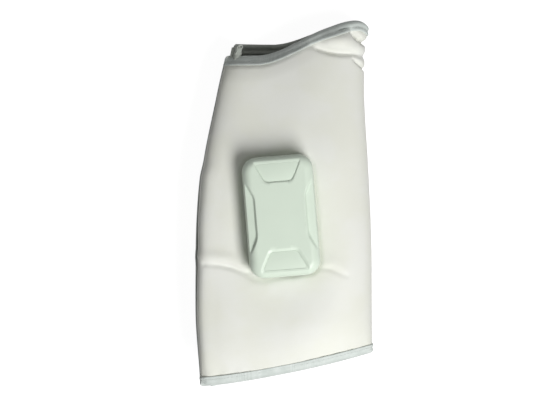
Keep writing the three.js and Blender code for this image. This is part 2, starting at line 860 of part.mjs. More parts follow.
function hose(path, radius) {
  const outline = new THREE.Shape(roundedPoints(radius, radius, radius - fit / 10, 2));
  const curve = new THREE.CatmullRomCurve3(path.map(([x, y, z]) => new THREE.Vector3(x, y, z)));
  const steps = Math.round(curve.getLength() / (2 * radius));
  const settings = { steps, extrudePath: curve, bevelEnabled: false };
  const tube = new THREE.ExtrudeGeometry(outline, settings);
  tube.deleteAttribute("normal");
  tube.deleteAttribute("uv");
  return facingOut(mergeVertices(tube, 1e-3));
}

// From the tee's side down beside the pump, along the wall and up to the ankle valve
function ankleHose() {
  const beside = -podHalfWidth + shellWall + 2 * hoseRadius;
  const low = floorTop + hoseRadius + fit;
  const teeMiddle = (teeStart + teeEnd) / 2;
  const teeSide = pumpPlace - teeSize / 2 - fit;
  const turn = 2 * hoseRadius;
  return hose(
    [
      [teeSide, teeMiddle, pumpAxis],
      [beside + turn, teeMiddle, pumpAxis - fit],
      [beside, teeMiddle + turn, pumpAxis - turn - fit],
      [beside, headStart + turn, low + fit],
      [beside, 0, low],
      [beside, motorEnd - turn, low],
      [beside + turn, motorEnd + 2 * turn, low + fit],
      [valvePlace, valveNear - turn, valveFoot + coilRadius - fit],
      [valvePlace, valveNear - fit, valveFoot + coilRadius],
    ],
    hoseRadius,
  );
}

function calfHose() {
  const long = valveNear - fit + teeStart - fit;
  const tube = new THREE.CylinderGeometry(calfHoseRadius, calfHoseRadius, long, smallSides);
  return tube.translate(pumpPlace, teeStart - fit - long / 2, valveFoot + coilRadius + fit);
}

const plateTop = -podGap - coverWall - layerGap;
const plateFoot = plateTop - plateWall;
const nippleFoot = plateFoot - nippleReach;

function nipple(sign) {
  const profile = [
    [boreRadius, nippleFoot],
    [nippleRadius - fit, nippleFoot],
    [nippleRadius, nippleFoot + nippleReach],
    [nippleRadius, floorTop],
    [nippleFlangeRadius, floorTop],
    [nippleFlangeRadius, floorTop + nippleFlangeWall],
    [boreRadius, floorTop + nippleFlangeWall],
    [boreRadius, nippleFoot],
  ];
  return turnedAlongY(profile, 0, 0)
    .rotateX(Math.PI / 2)
    .translate(valvePlace, sign * nipplePlace, 0);
}

function backingPlate() {
  const plate = slab(roundedPoints(plateHalfWidth, plateHalfLength, plateCorner), plateFoot, plateTop);
  const holes = [];
  for (const [x, y] of screwPlaces) {
    holes.push(rod(screwRadius + fit, plateFoot - overrun, plateTop + overrun, x, y));
    holes.push(rod(screwHeadRadius + fit, plateFoot - overrun, plateFoot + screwHeadWall + 2 * fit, x, y));
  }
  for (const sign of [1, -1]) {
    const y = sign * nipplePlace;
    holes.push(rod(nippleRadius + fit, plateFoot - overrun, plateTop + overrun, valvePlace, y));
  }
  return cut(plate, ...holes);
}

function clampScrew(x, y) {
  const headTop = plateFoot + screwHeadWall + fit;
  const shaft = rod(screwRadius, headTop - fit, screwBite, x, y, smallSides);
  return join(rod(screwHeadRadius, plateFoot + fit, headTop, x, y), shaft);
}

// Holes through the fabric and pockets in the bladders, placed with the pod

const podPlace = new THREE.Matrix4()
  .makeRotationZ(podTurn)
  .setPosition(0, 0, seatHeight + podGap);

function fabricHoles() {
  const hole = (radius, x, y) => rod(radius + 2 * fit, -3 * overrun, overrun, x, y, smallSides);
  const holes = screwPlaces.map(([x, y]) => hole(screwRadius, x, y));
  holes.push(hole(nippleRadius, valvePlace, nipplePlace));
  holes.push(hole(nippleRadius, valvePlace, -nipplePlace));
  return holes.map((tool) => tool.applyMatrix4(podPlace));
}

function bladderPockets() {
  const outline = roundedPoints(plateHalfWidth + fit, plateHalfLength + fit, plateCorner + fit);
  const pocket = slab(outline, plateFoot - fit, plateTop + overrun);
  const well = (y) => rod(nippleRadius + fit, nippleFoot - fit, plateTop, valvePlace, y, smallSides);
  return [pocket, well(nipplePlace), well(-nipplePlace)].map((tool) => tool.applyMatrix4(podPlace));
}

// Materials

function material(color, roughness, metalness = 0) {
  return new THREE.MeshStandardMaterial({ color, roughness, metalness });
}

const fabric = material(0xdcded5, 0.6);
const liningFabric = material(0xa9b0a6, 0.8);
const tapeFabric = material(0x8f9a90, 0.7);
const bladderFilm = material(0xc9ccc4, 0.4);
const hookNylon = material(0xd5d6d0, 0.9);
const mintPlastic = material(0xcfdfcb, 0.35);
const rubber = material(0x6d756c, 0.8);
const boardGreen = material(0x2f6b45, 0.5);
const blackPlastic = material(0x2b2d2c, 0.5);
const steel = material(0xb9bcbe, 0.3, 1);
const silver = material(0xc9cacc, 0.35, 0.9);
const whitePlastic = material(0xe6e7e2, 0.5);
const silicone = material(0xe9ebe6, 0.6);
const cellWrap = material(0x4d7fae, 0.4);

// Assembly

const object = new THREE.Group();
const podGroup = new THREE.Group();
podGroup.applyMatrix4(podPlace);
object.add(podGroup);

function add(group, name, geometry, finish) {
  const mesh = new THREE.Mesh(geometry, finish);
  mesh.name = name;
  group.add(mesh);
}

function rowSpan(half, part) {
  const last = half.rows.length - 3;
  return part === "calf" ? [2, half.weldRow] : [half.weldRow + 1, last];
}

add(object, "front_cover", cut(cover(front), ...fabricHoles()), fabric);
add(object, "front_lining", lining(front), liningFabric);
add(object, "back_cover", cover(back), fabric);
add(object, "back_lining", lining(back), liningFabric);
for (const part of ["calf", "ankle"]) {
  const frontBladder = cut(bladder(front, rowSpan(front, part)), ...bladderPockets());
  add(object, "front_" + part + "_bladder", frontBladder, bladderFilm);
  add(object, "back_" + part + "_bladder", bladder(back, rowSpan(back, part)), bladderFilm);
}
for (const [name, half] of Object.entries({ front, back })) {
  add(object, name + "_hem_binding", endTape(half, 0, 1), tapeFabric);
  add(object, name + "_mouth_binding", endTape(half, -1, -2), tapeFabric);
  add(object, name + "_side_binding", sideTape(half), tapeFabric);
}
add(object, "hook_strip", hookStrip(), hookNylon);
add(object, "loop_strip", loopStrip(), hookNylon);

add(podGroup, "pod_front_shell", podFrontShell(), mintPlastic);
add(podGroup, "pod_back_shell", podBackShell(), mintPlastic);
add(podGroup, "pod_gasket", podGasket(), rubber);
add(podGroup, "power_key", key(1), mintPlastic);
add(podGroup, "mode_key", key(-1), mintPlastic);
add(podGroup, "circuit_board", circuitBoard(), boardGreen);
add(podGroup, "power_switch", keySwitch(1), blackPlastic);
add(podGroup, "mode_switch", keySwitch(-1), blackPlastic);
add(podGroup, "charge_socket", chargeSocket(), steel);
add(podGroup, "battery_cell", batteryCell(), cellWrap);
add(podGroup, "pump_motor", pumpMotor(), silver);
add(podGroup, "pump_head", pumpHead(), whitePlastic);
add(podGroup, "tee_fitting", teeFitting(), whitePlastic);
add(podGroup, "ankle_hose", ankleHose(), silicone);
add(podGroup, "calf_hose", calfHose(), silicone);
add(podGroup, "ankle_valve", valve(1), blackPlastic);
add(podGroup, "calf_valve", valve(-1), blackPlastic);
add(podGroup, "ankle_nipple", nipple(1), whitePlastic);
add(podGroup, "calf_nipple", nipple(-1), whitePlastic);
add(podGroup, "backing_plate", backingPlate(), whitePlastic);
screwPlaces.forEach(([x, y], i) => {
  add(podGroup, "clamp_screw_" + (i + 1), clampScrew(x, y), steel);
});

// The origin is on the floor, under the middle of the whole object
const bounds = new THREE.Box3().setFromObject(object);
const middle = bounds.getCenter(new THREE.Vector3());
object.position.set(-middle.x, -middle.y, -bounds.min.z);
const shift = object.position.toArray().map((value) => value.toFixed(3));
console.log("moved to the origin by", ...shift);

export default object;
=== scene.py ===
# %% [markdown]
# This script dresses an air compression leg massager: a padded wrap for the lower leg, lying on its back,
# with a mint control pod on its front. The imported CAD model gives the sizes, the hidden works and the
# joints. Blender adds what cloth and moulded plastic need: soft edges, creases, tape, stitches and surface
# detail. The frame is loaded first, because the dressed wrap has to fill the same space.

import math

import bmesh
import bpy
import numpy as np
from mathutils import Matrix, Vector


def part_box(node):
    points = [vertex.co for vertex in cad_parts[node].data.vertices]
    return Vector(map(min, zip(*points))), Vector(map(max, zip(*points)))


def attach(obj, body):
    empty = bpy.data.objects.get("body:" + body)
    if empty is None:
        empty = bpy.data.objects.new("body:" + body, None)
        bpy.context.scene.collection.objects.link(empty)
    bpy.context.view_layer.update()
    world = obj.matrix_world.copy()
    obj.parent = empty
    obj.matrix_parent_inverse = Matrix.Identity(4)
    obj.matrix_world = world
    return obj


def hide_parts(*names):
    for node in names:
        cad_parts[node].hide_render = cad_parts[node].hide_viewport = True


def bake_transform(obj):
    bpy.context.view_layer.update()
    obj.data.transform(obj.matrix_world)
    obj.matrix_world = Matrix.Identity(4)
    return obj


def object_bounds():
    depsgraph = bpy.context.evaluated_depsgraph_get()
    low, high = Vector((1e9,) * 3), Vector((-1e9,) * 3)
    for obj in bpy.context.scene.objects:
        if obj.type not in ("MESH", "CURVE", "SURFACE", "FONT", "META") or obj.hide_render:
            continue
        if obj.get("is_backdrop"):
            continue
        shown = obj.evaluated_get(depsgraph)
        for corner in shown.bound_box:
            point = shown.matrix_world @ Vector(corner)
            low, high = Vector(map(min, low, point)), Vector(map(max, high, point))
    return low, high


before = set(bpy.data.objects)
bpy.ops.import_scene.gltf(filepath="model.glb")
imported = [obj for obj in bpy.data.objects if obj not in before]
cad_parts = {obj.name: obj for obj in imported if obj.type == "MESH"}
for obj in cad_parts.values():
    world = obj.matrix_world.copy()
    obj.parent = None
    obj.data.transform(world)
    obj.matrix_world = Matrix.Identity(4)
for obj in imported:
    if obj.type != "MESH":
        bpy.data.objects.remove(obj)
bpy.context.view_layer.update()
pod_low, pod_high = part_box("pod_back_shell")
MM = 0.001
POD_MIDDLE = Vector(((pod_low.x + pod_high.x) / 2, (pod_low.y + pod_high.y) / 2, pod_low.z))

# %% [markdown]
# Every place on the wrap is measured in millimetres from the middle of the pod, and every place seen in
# the photograph is turned into the same millimetres. The camera looks straight down, so one scale does
# for the whole picture. Three small curves shape almost everything: smooth is the ramp that cloth follows
# from one level to another, soft_least joins two surfaces with a round, and bell is a rounded ridge.

# %% Places and ramps
MM_PER_PIXEL = 0.93
POD_PIXEL = (281, 216)


def smooth(value, low, high):
    t = np.clip((value - low) / (high - low), 0, 1)
    return t * t * (3 - 2 * t)


def soft_least(a, b, blend):
    mix = np.clip(0.5 + 0.5 * (b - a) / blend, 0, 1)
    return b + (a - b) * mix - blend * mix * (1 - mix)


def bell(away, width):
    return np.exp(-((away / width) ** 2))


def photo_place(across, down):
    return np.array([(across - POD_PIXEL[0]) * MM_PER_PIXEL, (POD_PIXEL[1] - down) * MM_PER_PIXEL])


def to_row(points):
    """Millimetres from the pod's middle to metres in the row frame; heights are already from the floor."""
    return points * MM + np.array([POD_MIDDLE.x, POD_MIDDLE.y, 0])


print("the wrap's left corner is", photo_place(201, 386).round(1), "mm from the pod's middle")

# %% [markdown]
# The wrap is a flattened tube that gets narrower towards the ankle. Its section is a superellipse, which
# is fuller at its sides than an ellipse, as a folded padded sheet is. How far it reaches to the lap and
# to the fold, and how high it stands, is given at six even steps, and a smooth curve runs through them.
# One formula for the whole surface is better here than sculpting, because the cover, the lining, the
# tape and the stitches all have to lie on each other exactly.

# %% The section of the wrap
REACH_DOWN, REACH_UP = 157, 181
HALF_WIDTH = 85
HEIGHT = 72
REST_FLAT = 0.5
NEAR_LONG = 305  # about how long the wrap is, to turn a share of it into millimetres
LAP_REACH_SHARES = (0.855, 0.884, 0.903, 0.843, 0.688, 0.53)
FOLD_REACH_SHARES = (1, 0.994, 0.988, 0.954, 0.912, 0.929)
HEIGHT_SHARES = (0.97, 1, 1, 0.97, 0.86, 0.72)
SECTION_POWER = 0.8
LAP_POWER, LAP_POWER_UP = 0.27, 0.36  # the shoulder over the lap is squarer, most of all at the wide end
WIDE_END_RISE, WIDE_END_POWER = 31, 1.4
PEAK_PLACE, PEAK_CURL = 70, 13  # where the narrow end peaks, and how far it falls again to the fold
HOLLOW_PLACE, HOLLOW_DEEP, HOLLOW_WIDE = 50, 1.3, 15


def along_wrap(shares, y):
    shares = np.array(shares, float)
    last = len(shares) - 1
    place = np.clip((y + REACH_DOWN) / (REACH_DOWN + REACH_UP), 0, 1) * last
    index = np.minimum(np.floor(place).astype(int), last - 1)
    t = place - index
    a, b, c, d = (shares[np.clip(index + step, 0, last)] for step in (-1, 0, 1, 2))
    return b + 0.5 * t * (c - a + t * (2 * a - 5 * b + 4 * c - d + t * (3 * (b - c) + d - a)))


def signed_power(value, power):
    return np.sign(value) * np.abs(value) ** power


def middle_height(y):
    return (HEIGHT * along_wrap(HEIGHT_SHARES, y) + REST_FLAT) / 2 - REST_FLAT


def section(y, angle, depth):
    """A point of the section at y: angle 0 is the fold on the right, and a quarter turn is the top."""
    lap = HALF_WIDTH * along_wrap(LAP_REACH_SHARES, y)
    fold = HALF_WIDTH * along_wrap(FOLD_REACH_SHARES, y)
    middle = middle_height(y)
    at_lap = (np.cos(angle) < 0) & (np.sin(angle) > 0)
    squarer = LAP_POWER + (LAP_POWER_UP - LAP_POWER) * smooth(y, -70, 60)
    power = np.where(at_lap, squarer, SECTION_POWER)
    x = (fold - lap) / 2 + ((fold + lap) / 2 - depth) * signed_power(np.cos(angle), power)
    z = middle + (middle + REST_FLAT - depth) * signed_power(np.sin(angle), power)
    return x, z


def wide_end(x):
    return WIDE_END_RISE * np.clip((x + HALF_WIDTH) / (2 * HALF_WIDTH), 0, 1) ** WIDE_END_POWER - REACH_DOWN


def narrow_end(x, drop, climb_start):
    curl = np.maximum(0, (x - PEAK_PLACE) / (HALF_WIDTH - PEAK_PLACE)) ** 2
    hollow = HOLLOW_DEEP * bell(x - HOLLOW_PLACE, HOLLOW_WIDE)
    return REACH_UP - drop * (1 - smooth(x, climb_start, PEAK_PLACE)) - PEAK_CURL * curl - hollow


print("section height at the pod", round(float(2 * middle_height(np.array(0.0))), 1), "mm")

# %% [markdown]
# The front of the wrap has creases: a long one below the rolled narrow end, two short notches at the
# fold, and one beside each lower corner of the pod. Each crease is a line of places with a depth and a
# width, so it can be moved until it matches the real one. A positive depth is a valley, a negative one a
# roll of padding beside it. The creases stop at the pod, whose outline is a rounded rectangle.

# %% The pod's outline and the creases
POD_HALF = (32.7, 55.5)
POD_CORNER = 14
POD_TURN = math.radians(4.7)
CREASES = [
    # places in the photograph, depth, half width
    ([(206, 263.5), (220, 264), (232, 266.5), (250, 273.5), (258, 277)], 2.3, 2.3),
    ([(201, 256), (216, 255.5), (232, 258), (248, 266)], -1.3, 5),
    ([(317, 266.5), (330, 268), (345, 275)], 1.3, 2.2),
    ([(320, 259), (332, 261), (344, 267)], -0.5, 5),
    ([(312, 46.5), (319, 49.5), (329, 52.5), (340, 54), (353, 54), (364, 56)], 4.6, 2.8),
    ([(318, 40), (330, 40), (342, 41), (354, 45)], -4.6, 8),
    ([(351, 31), (355, 37), (361, 42), (371, 43)], 6.4, 2.5),
    ([(353, 60), (358, 64), (364, 68.5), (370, 72)], 2.6, 1.6),
]


def outside_pod(x, y):
    across = np.abs(x * math.cos(POD_TURN) + y * math.sin(POD_TURN))
    along = np.abs(y * math.cos(POD_TURN) - x * math.sin(POD_TURN))
    over_x = np.maximum(0, across - POD_HALF[0] + POD_CORNER)
    over_y = np.maximum(0, along - POD_HALF[1] + POD_CORNER)
    return np.hypot(over_x, over_y) - POD_CORNER


def away_from_line(x, y, line):
    """Distance to a line of places, and how far along it the nearest place is, from 0 to 1."""
    places = [photo_place(*place) for place in line]
    best, best_share = np.full(np.shape(x), 1e9), np.zeros(np.shape(x))
    for i, (start, end) in enumerate(zip(places, places[1:])):
        run = end - start
        t = np.clip(((x - start[0]) * run[0] + (y - start[1]) * run[1]) / (run @ run), 0, 1)
        away = np.hypot(x - start[0] - t * run[0], y - start[1] - t * run[1])
        best_share = np.where(away < best, (i + t) / (len(places) - 1), best_share)
        best = np.minimum(best, away)
    return best, best_share


def creased(x, y):
    """How far the cloth lies below its smooth form."""
    total = np.zeros(np.shape(x))
    for line, depth, width in CREASES:
        away, share = away_from_line(x, y, line)
        fade = 0.35 + 0.65 * np.sin(math.pi * np.clip(share, 0.06, 0.94))
        total += depth * fade * bell(away, width)
    return total


print(len(CREASES), "creases and rolls")

# %% [markdown]
# The two halves share the formula. The front half starts a little way under the wrap, goes round the fold
# and over the top, and ends at the lap on the left. The back half takes over underneath and is tucked in
# behind the lap. Putting the join underneath lets the cloth of the fold be one piece. Depths go inwards from
# the skin, and the tucked edge lies as deep as the lap's wall, two tapes and a gap take.

# %% The two halves and their layers
SEAM_ANGLE = math.radians(-50)
LAP_ANGLE = math.pi
TUCK_ANGLE = -math.pi - math.pi / 6
COVER_WALL, LINING_WALL, PAD_WALL, LAYER_GAP = 2.2, 1.2, 5.3, 0.3
THIN_WALL = COVER_WALL + LAYER_GAP + LINING_WALL
TAPE_STACK, STRIP_STACK, LAP_GAP = 1.0, 4.1, 0.7
TUCK_DEPTH = THIN_WALL + 2 * TAPE_STACK + LAP_GAP
LAP_BULGE = THIN_WALL + STRIP_STACK - TUCK_DEPTH
FRONT_PAD_TURNS, BACK_PAD_TURNS = (15 / 24, 19 / 24), (13 / 22, 16 / 22)  # the padding thins out between
TUCK_TURNS = (16 / 22, 18 / 22)
STRIP_START_SHARE, STRIP_END_SHARE = 0.031, 0.628
FRONT_DROP, BACK_DROP, TUCK_DROP = 33, 20.8, 1.7  # how far the narrow end falls towards the lap
FRONT_CLIMB, BACK_CLIMB = -24, -9  # where across the wrap it starts to climb


def ends_at(x, angle):
    """Where the wide end and the narrow end lie along the wrap, on the half that the angle is on."""
    front = angle >= 0
    drop = np.where(front, FRONT_DROP, BACK_DROP + TUCK_DROP * smooth(-angle, 2.7, 3.1))
    return wide_end(x), narrow_end(x, drop, np.where(front, FRONT_CLIMB, BACK_CLIMB))


def layered(angle, share):
    """How much deeper the tucked edge lies; below 0, how far the lap stands out over its strips."""
    tucked = TUCK_DEPTH * smooth(angle / TUCK_ANGLE, *TUCK_TURNS)
    beside_strips = 1 - smooth(share, STRIP_END_SHARE, STRIP_END_SHARE + 0.06)
    lapped = -LAP_BULGE * beside_strips * smooth(angle / LAP_ANGLE, *FRONT_PAD_TURNS)
    return np.where(angle >= 0, lapped, tucked)


print("the tucked edge lies", round(TUCK_DEPTH, 1), "mm deep")

# %% [markdown]
# The pod is screwed to a plate behind the cloth, so it presses the padding down: steeply beside its rim,
# and gently for five centimetres around. A narrow pinch under the rim makes the dark line of contact. It
# gets deeper and wider at the lower left, where a crease runs into it.

# %% The seat of the pod
SEAT_HEIGHT, SEAT_ROUND = 66.5, 3
SEAT_STEEP, SEAT_REACH = 4, (6, 50)
PINCH_DEEP, PINCH_PLACE, PINCH_WIDE = 1.2, 1, 2.3
DIP_DEEP, DIP_PLACE, DIP_WIDE = 2.2, 2.5, 5


def seated(x, y, z):
    """How far the cloth at that height moves, downwards below 0, to meet the pod."""
    beside_pod = outside_pod(x, y)
    steep = np.exp(-np.maximum(beside_pod - 0.4, 0) / SEAT_STEEP)
    near = 0.5 * steep + 0.5 * (1 - smooth(beside_pod, *SEAT_REACH))
    pinch = PINCH_DEEP * bell(beside_pod + PINCH_PLACE, PINCH_WIDE)
    at_lower_left = smooth(-y, 44, 54) * (1 - smooth(x, 0, 26))
    dip_wide = np.where(beside_pod < -DIP_PLACE, PINCH_WIDE, DIP_WIDE)
    dip = DIP_DEEP * at_lower_left * bell(beside_pod + DIP_PLACE, dip_wide)
    return near * soft_least(SEAT_HEIGHT - z, 0, SEAT_ROUND) - pinch - dip


print("the pod presses the cloth down by", round(float(-seated(0.0, 0.0, HEIGHT)), 1), "mm")

# %% [markdown]
# Near both bound ends the cloth has less padding, so the front rolls down over the edge and sags a little
# beyond the roll. The mouth rolls deepest on its left, where the wrap is emptiest. Underneath, the ends
# turn up, clear of the table.

# %% The bound ends
HEM_DROOP = (6.5, 8, 6, 40)  # roll and its run, sag and its run
MOUTH_DROOP_LEFT, MOUTH_DROOP_RIGHT = (13, 13, 3.6, 26), (4.5, 13, 1.8, 26)
END_LIFT, END_LIFT_RUN = 2.2, 24


def droop(x, to_hem, to_mouth):
    """How far the front hangs at its distances from the hem and from the mouth."""
    to_end, rightwards = np.minimum(to_hem, to_mouth), smooth(x, -20, 40)
    roll, roll_run, sag, sag_run = (
        np.where(to_mouth < to_hem, left + (right - left) * rightwards, hem)
        for hem, left, right in zip(HEM_DROOP, MOUTH_DROOP_LEFT, MOUTH_DROOP_RIGHT)
    )
    sagging = sag * np.maximum(0, 1 - np.maximum(to_end, 0) / sag_run) ** 2
    return roll * (1 - smooth(to_end, -7, roll_run)) + sagging


def turned_up(angle, to_end):
    return END_LIFT * (1 - smooth(to_end, 0, END_LIFT_RUN)) * np.maximum(0, -np.sin(angle))


print("the hem hangs by", round(float(droop(0.0, 0.0, 300.0)), 1), "mm")

# %% [markdown]
# All of this meets in one function, which gives the place of any thread of cloth from its angle round the
# wrap, its share of the way along and its depth in the wall. The ends of the wrap slant, so how far along
# a share is depends on how far across it is, and a few rounds settle the two. The lap's edge stands out a
# little and its top leans in, which is why its tape shows from above.

# %% A place on either half
MOUTH_FLARE = 2.2  # the bound end of the fold springs outwards
LAP_LEAN, LAP_FLARE = 4, 2.2


def leaned(x, z, share):
    """How far the lap's side moves, inwards above 0."""
    inwards = LAP_LEAN * smooth(z, 30, 42) * (0.2 + 0.8 * smooth(share, 0.2, 0.42))
    fading = 1 - 0.6 * smooth(share, 0.42, 0.5) - 0.4 * smooth(share, 0.5, 0.68)
    return (inwards - LAP_FLARE) * smooth(-x, 45, 68) * smooth(share, 0, 0.2) * fading


def wrap_place(angle, share, depth):
    """Millimetres for arrays of angles, shares along the wrap, and depths into the wall."""
    angle, share, depth = np.broadcast_arrays(*(np.asarray(v, float) for v in (angle, share, depth)))
    y = -REACH_DOWN + share * (REACH_DOWN + REACH_UP)
    for _ in range(5):
        low, high = ends_at(section(y, angle, 0)[0], angle)
        y = low + share * (high - low)
    skin_x, skin_z = section(y, angle, 0)
    folds = creased(skin_x, y) * smooth(np.sin(angle), -0.75, 0) * smooth(outside_pod(skin_x, y), -2, 3)
    flare = MOUTH_FLARE * smooth(share, 0.93, 1) * smooth(np.cos(angle), 0.5, 0.95)
    x, z = section(y, angle, depth + layered(angle, share) + folds - flare)
    moved = seated(skin_x, y, skin_z) - droop(skin_x, y - low, high - y)
    over = z + moved * smooth(np.sin(angle), 0, 0.6)
    under = np.maximum(z + turned_up(angle, np.minimum(y - low, high - y)), 0)
    z = np.where(angle >= 0, over, under)
    return np.stack([x + leaned(x, z, share), y, z], -1)


print("lap edge", wrap_place(LAP_ANGLE, 0.5, 0).round(1))
print("tucked edge", wrap_place(TUCK_ANGLE, 0.5, 0).round(1))

# %% [markdown]
# Cloth pieces start as a plain grid whose corners are moved to their places, because a grid keeps the
# threads of the cloth running round and along the leg. The same grid, closed into a tube, makes tape
# and pads. A UV map in real metres comes with it, so that a weave has the same thread size on every piece.

# %% Bent grids
def linked(name, data):
    obj = bpy.data.objects.new(name, data)
    bpy.context.scene.collection.objects.link(obj)
    return obj


def finished(name, bm, body=None, flat=False):
    """The bmesh as an object of that name, riding on a CAD body if one is named."""
    for face in bm.faces:
        face.smooth = not flat
    mesh = bpy.data.meshes.new(name)
    bm.to_mesh(mesh)
    bm.free()
    obj = linked(name, mesh)
    if body:
        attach(obj, body)
    return obj


def bent_grid(across, along, place, size, closed=False, turned=False, rows=None):
    """A grid bent to place(u, v), u and v from 0 to 1; size is its width and length in metres."""
    bm = bmesh.new()
    bmesh.ops.create_grid(bm, x_segments=across, y_segments=along, size=0.5)
    u = np.array([vert.co.x + 0.5 for vert in bm.verts])
    v = np.array([vert.co.y + 0.5 for vert in bm.verts])
    v = rows(v) if rows else v
    weave = bm.loops.layers.uv.new("weave")
    for face in bm.faces:
        for loop in face.loops:
            at = loop.vert.index
            loop[weave].uv = (u[at] * size[0], v[at] * size[1])
    for vert, point in zip(bm.verts, to_row(place(u, v))):
        vert.co = point
    if closed:
        bmesh.ops.remove_doubles(bm, verts=bm.verts, dist=2e-6)
        edges = [edge for edge in bm.edges if edge.is_boundary]
        if edges:
            bmesh.ops.holes_fill(bm, edges=edges, sides=0)
        bmesh.ops.recalc_face_normals(bm, faces=bm.faces)
    elif turned:
        bmesh.ops.reverse_faces(bm, faces=bm.faces)
    return bm


def walled(obj, wall):
    """Gives a sheet its wall, on its inner side."""
    solidify = obj.modifiers.new("wall", "SOLIDIFY")
    solidify.thickness = wall * MM
    solidify.offset = -1
    return obj


print("the grid helpers are ready")

# %% [markdown]
# The fold's bend is given by a line from a start to an end. The line leans, so that the lap on the far left
# counts as wholly above it. A piece of the front half keeps the place it is drawn in, and cloth of the back
# half alone rides with the root.

# %% Bending at the fold
BEND_START = to_row(np.array([86.0, 0, 25.3]))
BEND_END = to_row(np.array([76.0, 0, 59.3]))


def follow(obj, on_front, node=None):
    """Leaves a front piece where it is drawn, or lets a back piece ride with the root, in the place of the
    CAD node if one is named.
    """
    if on_front:
        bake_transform(obj)
    else:
        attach(obj, "root")
    if node:
        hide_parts(node)
    return obj


print("the fold bends from", BEND_START.round(4), "to", BEND_END.round(4))

# %% [markdown]
# The cover is satin cloth over thin foam. It is pinched flat under the tape, swells just beside it, and
# has faint gathers where the needle pulled it, and long soft waves elsewhere. These are written as a
# height over the smooth form, in tenths of a millimetre up to a few millimetres, so the wrap keeps its
# outline while the light finds something to play on. A cloth simulation could swell the padding too, but
# its creases come where they like, and these have to lie where the photograph has them, under the tapes.

# %% The cover
def cover_swell(x, y, to_end, upward):
    beside_tape = smooth(to_end, 4.5, 26) * 0.6 - 0.35 * (1 - smooth(to_end, 5, 8))
    pulled = (1 - smooth(to_end, 5, 17)) * smooth(to_end, 4, 7)
    gathers = 0.22 * np.sin(x / 2.1 + 1.5 * np.sin(y / 9)) * pulled
    waves = 0.35 * np.sin(x / 19 + 1.3) * np.sin(y / 27 + 0.4) + 0.18 * np.sin(x / 11 - y / 17)
    return (beside_tape + gathers + waves) * smooth(upward, 0.05, 0.45)


def closer_at_mouth(v):
    """Spaces the rows closer towards the narrow end, where the creases are."""
    return v + 0.32 * v * (1 - v)


def cover_place(start_angle, end_angle):
    def place(u, v):
        angle = start_angle + u * (end_angle - start_angle)
        flat = wrap_place(angle, v, 0)
        to_end = np.minimum(v, 1 - v) * NEAR_LONG
        swell = cover_swell(flat[..., 0], flat[..., 1], to_end, np.sin(angle))
        return wrap_place(angle, v, -swell)

    return place


def cover_cloth(name, across, along, end_angle):
    place = cover_place(SEAM_ANGLE, end_angle)
    sheet = bent_grid(across, along, place, (0.21, 0.31), turned=end_angle > 0, rows=closer_at_mouth)
    cloth = walled(finished(f"{name}_cloth", sheet), COVER_WALL - 0.2)
    follow(cloth, end_angle > 0, name)
    return cloth


front_cover_cloth = cover_cloth("front_cover", 182, 268, LAP_ANGLE)
back_cover_cloth = cover_cloth("back_cover", 120, 140, TUCK_ANGLE)
print("cover faces", len(front_cover_cloth.data.polygons), len(back_cover_cloth.data.polygons))

# %% [markdown]
# The lining is a knit that lies over the air chambers. It bulges over each chamber and is drawn in along
# the weld between the calf chamber and the ankle chamber, which is what a leg feels. It shows in the
# mouth of the wrap and whenever the wrap is opened.

# %% The lining
WELD_SHARE = 0.385


def plump(angle, share):
    """How far the padding is filled, from 0 at a bound edge to 1."""
    front = angle >= 0
    turn = np.where(front, angle / LAP_ANGLE, angle / TUCK_ANGLE)
    start, stop = (np.where(front, *pair) for pair in zip(FRONT_PAD_TURNS, BACK_PAD_TURNS))
    along = smooth(share, 0.031, 0.09) * (1 - smooth(share, 0.91, 0.969))
    weld = 1 - 0.55 * bell((share - WELD_SHARE) * NEAR_LONG, 7)
    return (1 - smooth(turn, start, stop)) * along * weld


def lining_place(start_angle, end_angle):
    def place(u, v):
        angle = start_angle + u * (end_angle - start_angle)
        ripple = 0.3 * np.sin(v * 95 + 2 * np.sin(u * 9)) * np.sin(u * 31)
        filled = plump(angle, v)
        return wrap_place(angle, v, COVER_WALL + 2 * LAYER_GAP + (PAD_WALL + ripple) * filled)

    return place


def lining_cloth(name, end_angle):
    sheet = bent_grid(90, 150, lining_place(SEAM_ANGLE, end_angle), (0.2, 0.31), turned=end_angle > 0)
    cloth = walled(finished(f"{name}_cloth", sheet), LINING_WALL - 0.3)
    follow(cloth, end_angle > 0, name)
    return cloth


front_lining_cloth = lining_cloth("front_lining", LAP_ANGLE)
back_lining_cloth = lining_cloth("back_lining", TUCK_ANGLE)

# %% [markdown]
# Each air chamber is two sheets of film welded along their rims. It is made as one closed tube of cloth
# pressed flat: the outer sheet goes across, the inner sheet comes back, and the two meet at a thin rim
# all the way round. The front chambers are hollowed where the plate behind the pod presses into them.

# %% The air chambers
CHAMBER_WIDE, RIM = 110, (1.5, 12)
PLATE_DEEP = 3.5


def chamber_place(first_angle, last_angle, first_share, last_share):
    def place(t, v):
        across = 1 - np.abs(2 * t - 1)
        angle = first_angle + across * (last_angle - first_angle)
        share = first_share + v * (last_share - first_share)
        beside_rim = smooth(np.minimum(across, 1 - across) * CHAMBER_WIDE, *RIM)
        beside_end = smooth(np.minimum(v, 1 - v) * (last_share - first_share) * NEAR_LONG, *RIM)
        flat = wrap_place(angle, share, 0)
        plate = 1 - smooth(outside_pod(flat[..., 0], flat[..., 1]), -1, 4)
        outer = COVER_WALL + 0.5 + np.where(angle > 0, PLATE_DEEP * plate, 0)
        inner = COVER_WALL + LAYER_GAP + PAD_WALL * plump(angle, share) - 0.5
        closed = np.minimum(v, 1 - v) > 1e-4
        half = np.maximum((inner - outer) / 2, 0.3) * (0.12 + 0.88 * beside_rim * beside_end) * closed
        return wrap_place(angle, share, (outer + inner) / 2 + np.where(t < 0.5, -half, half))

    return place


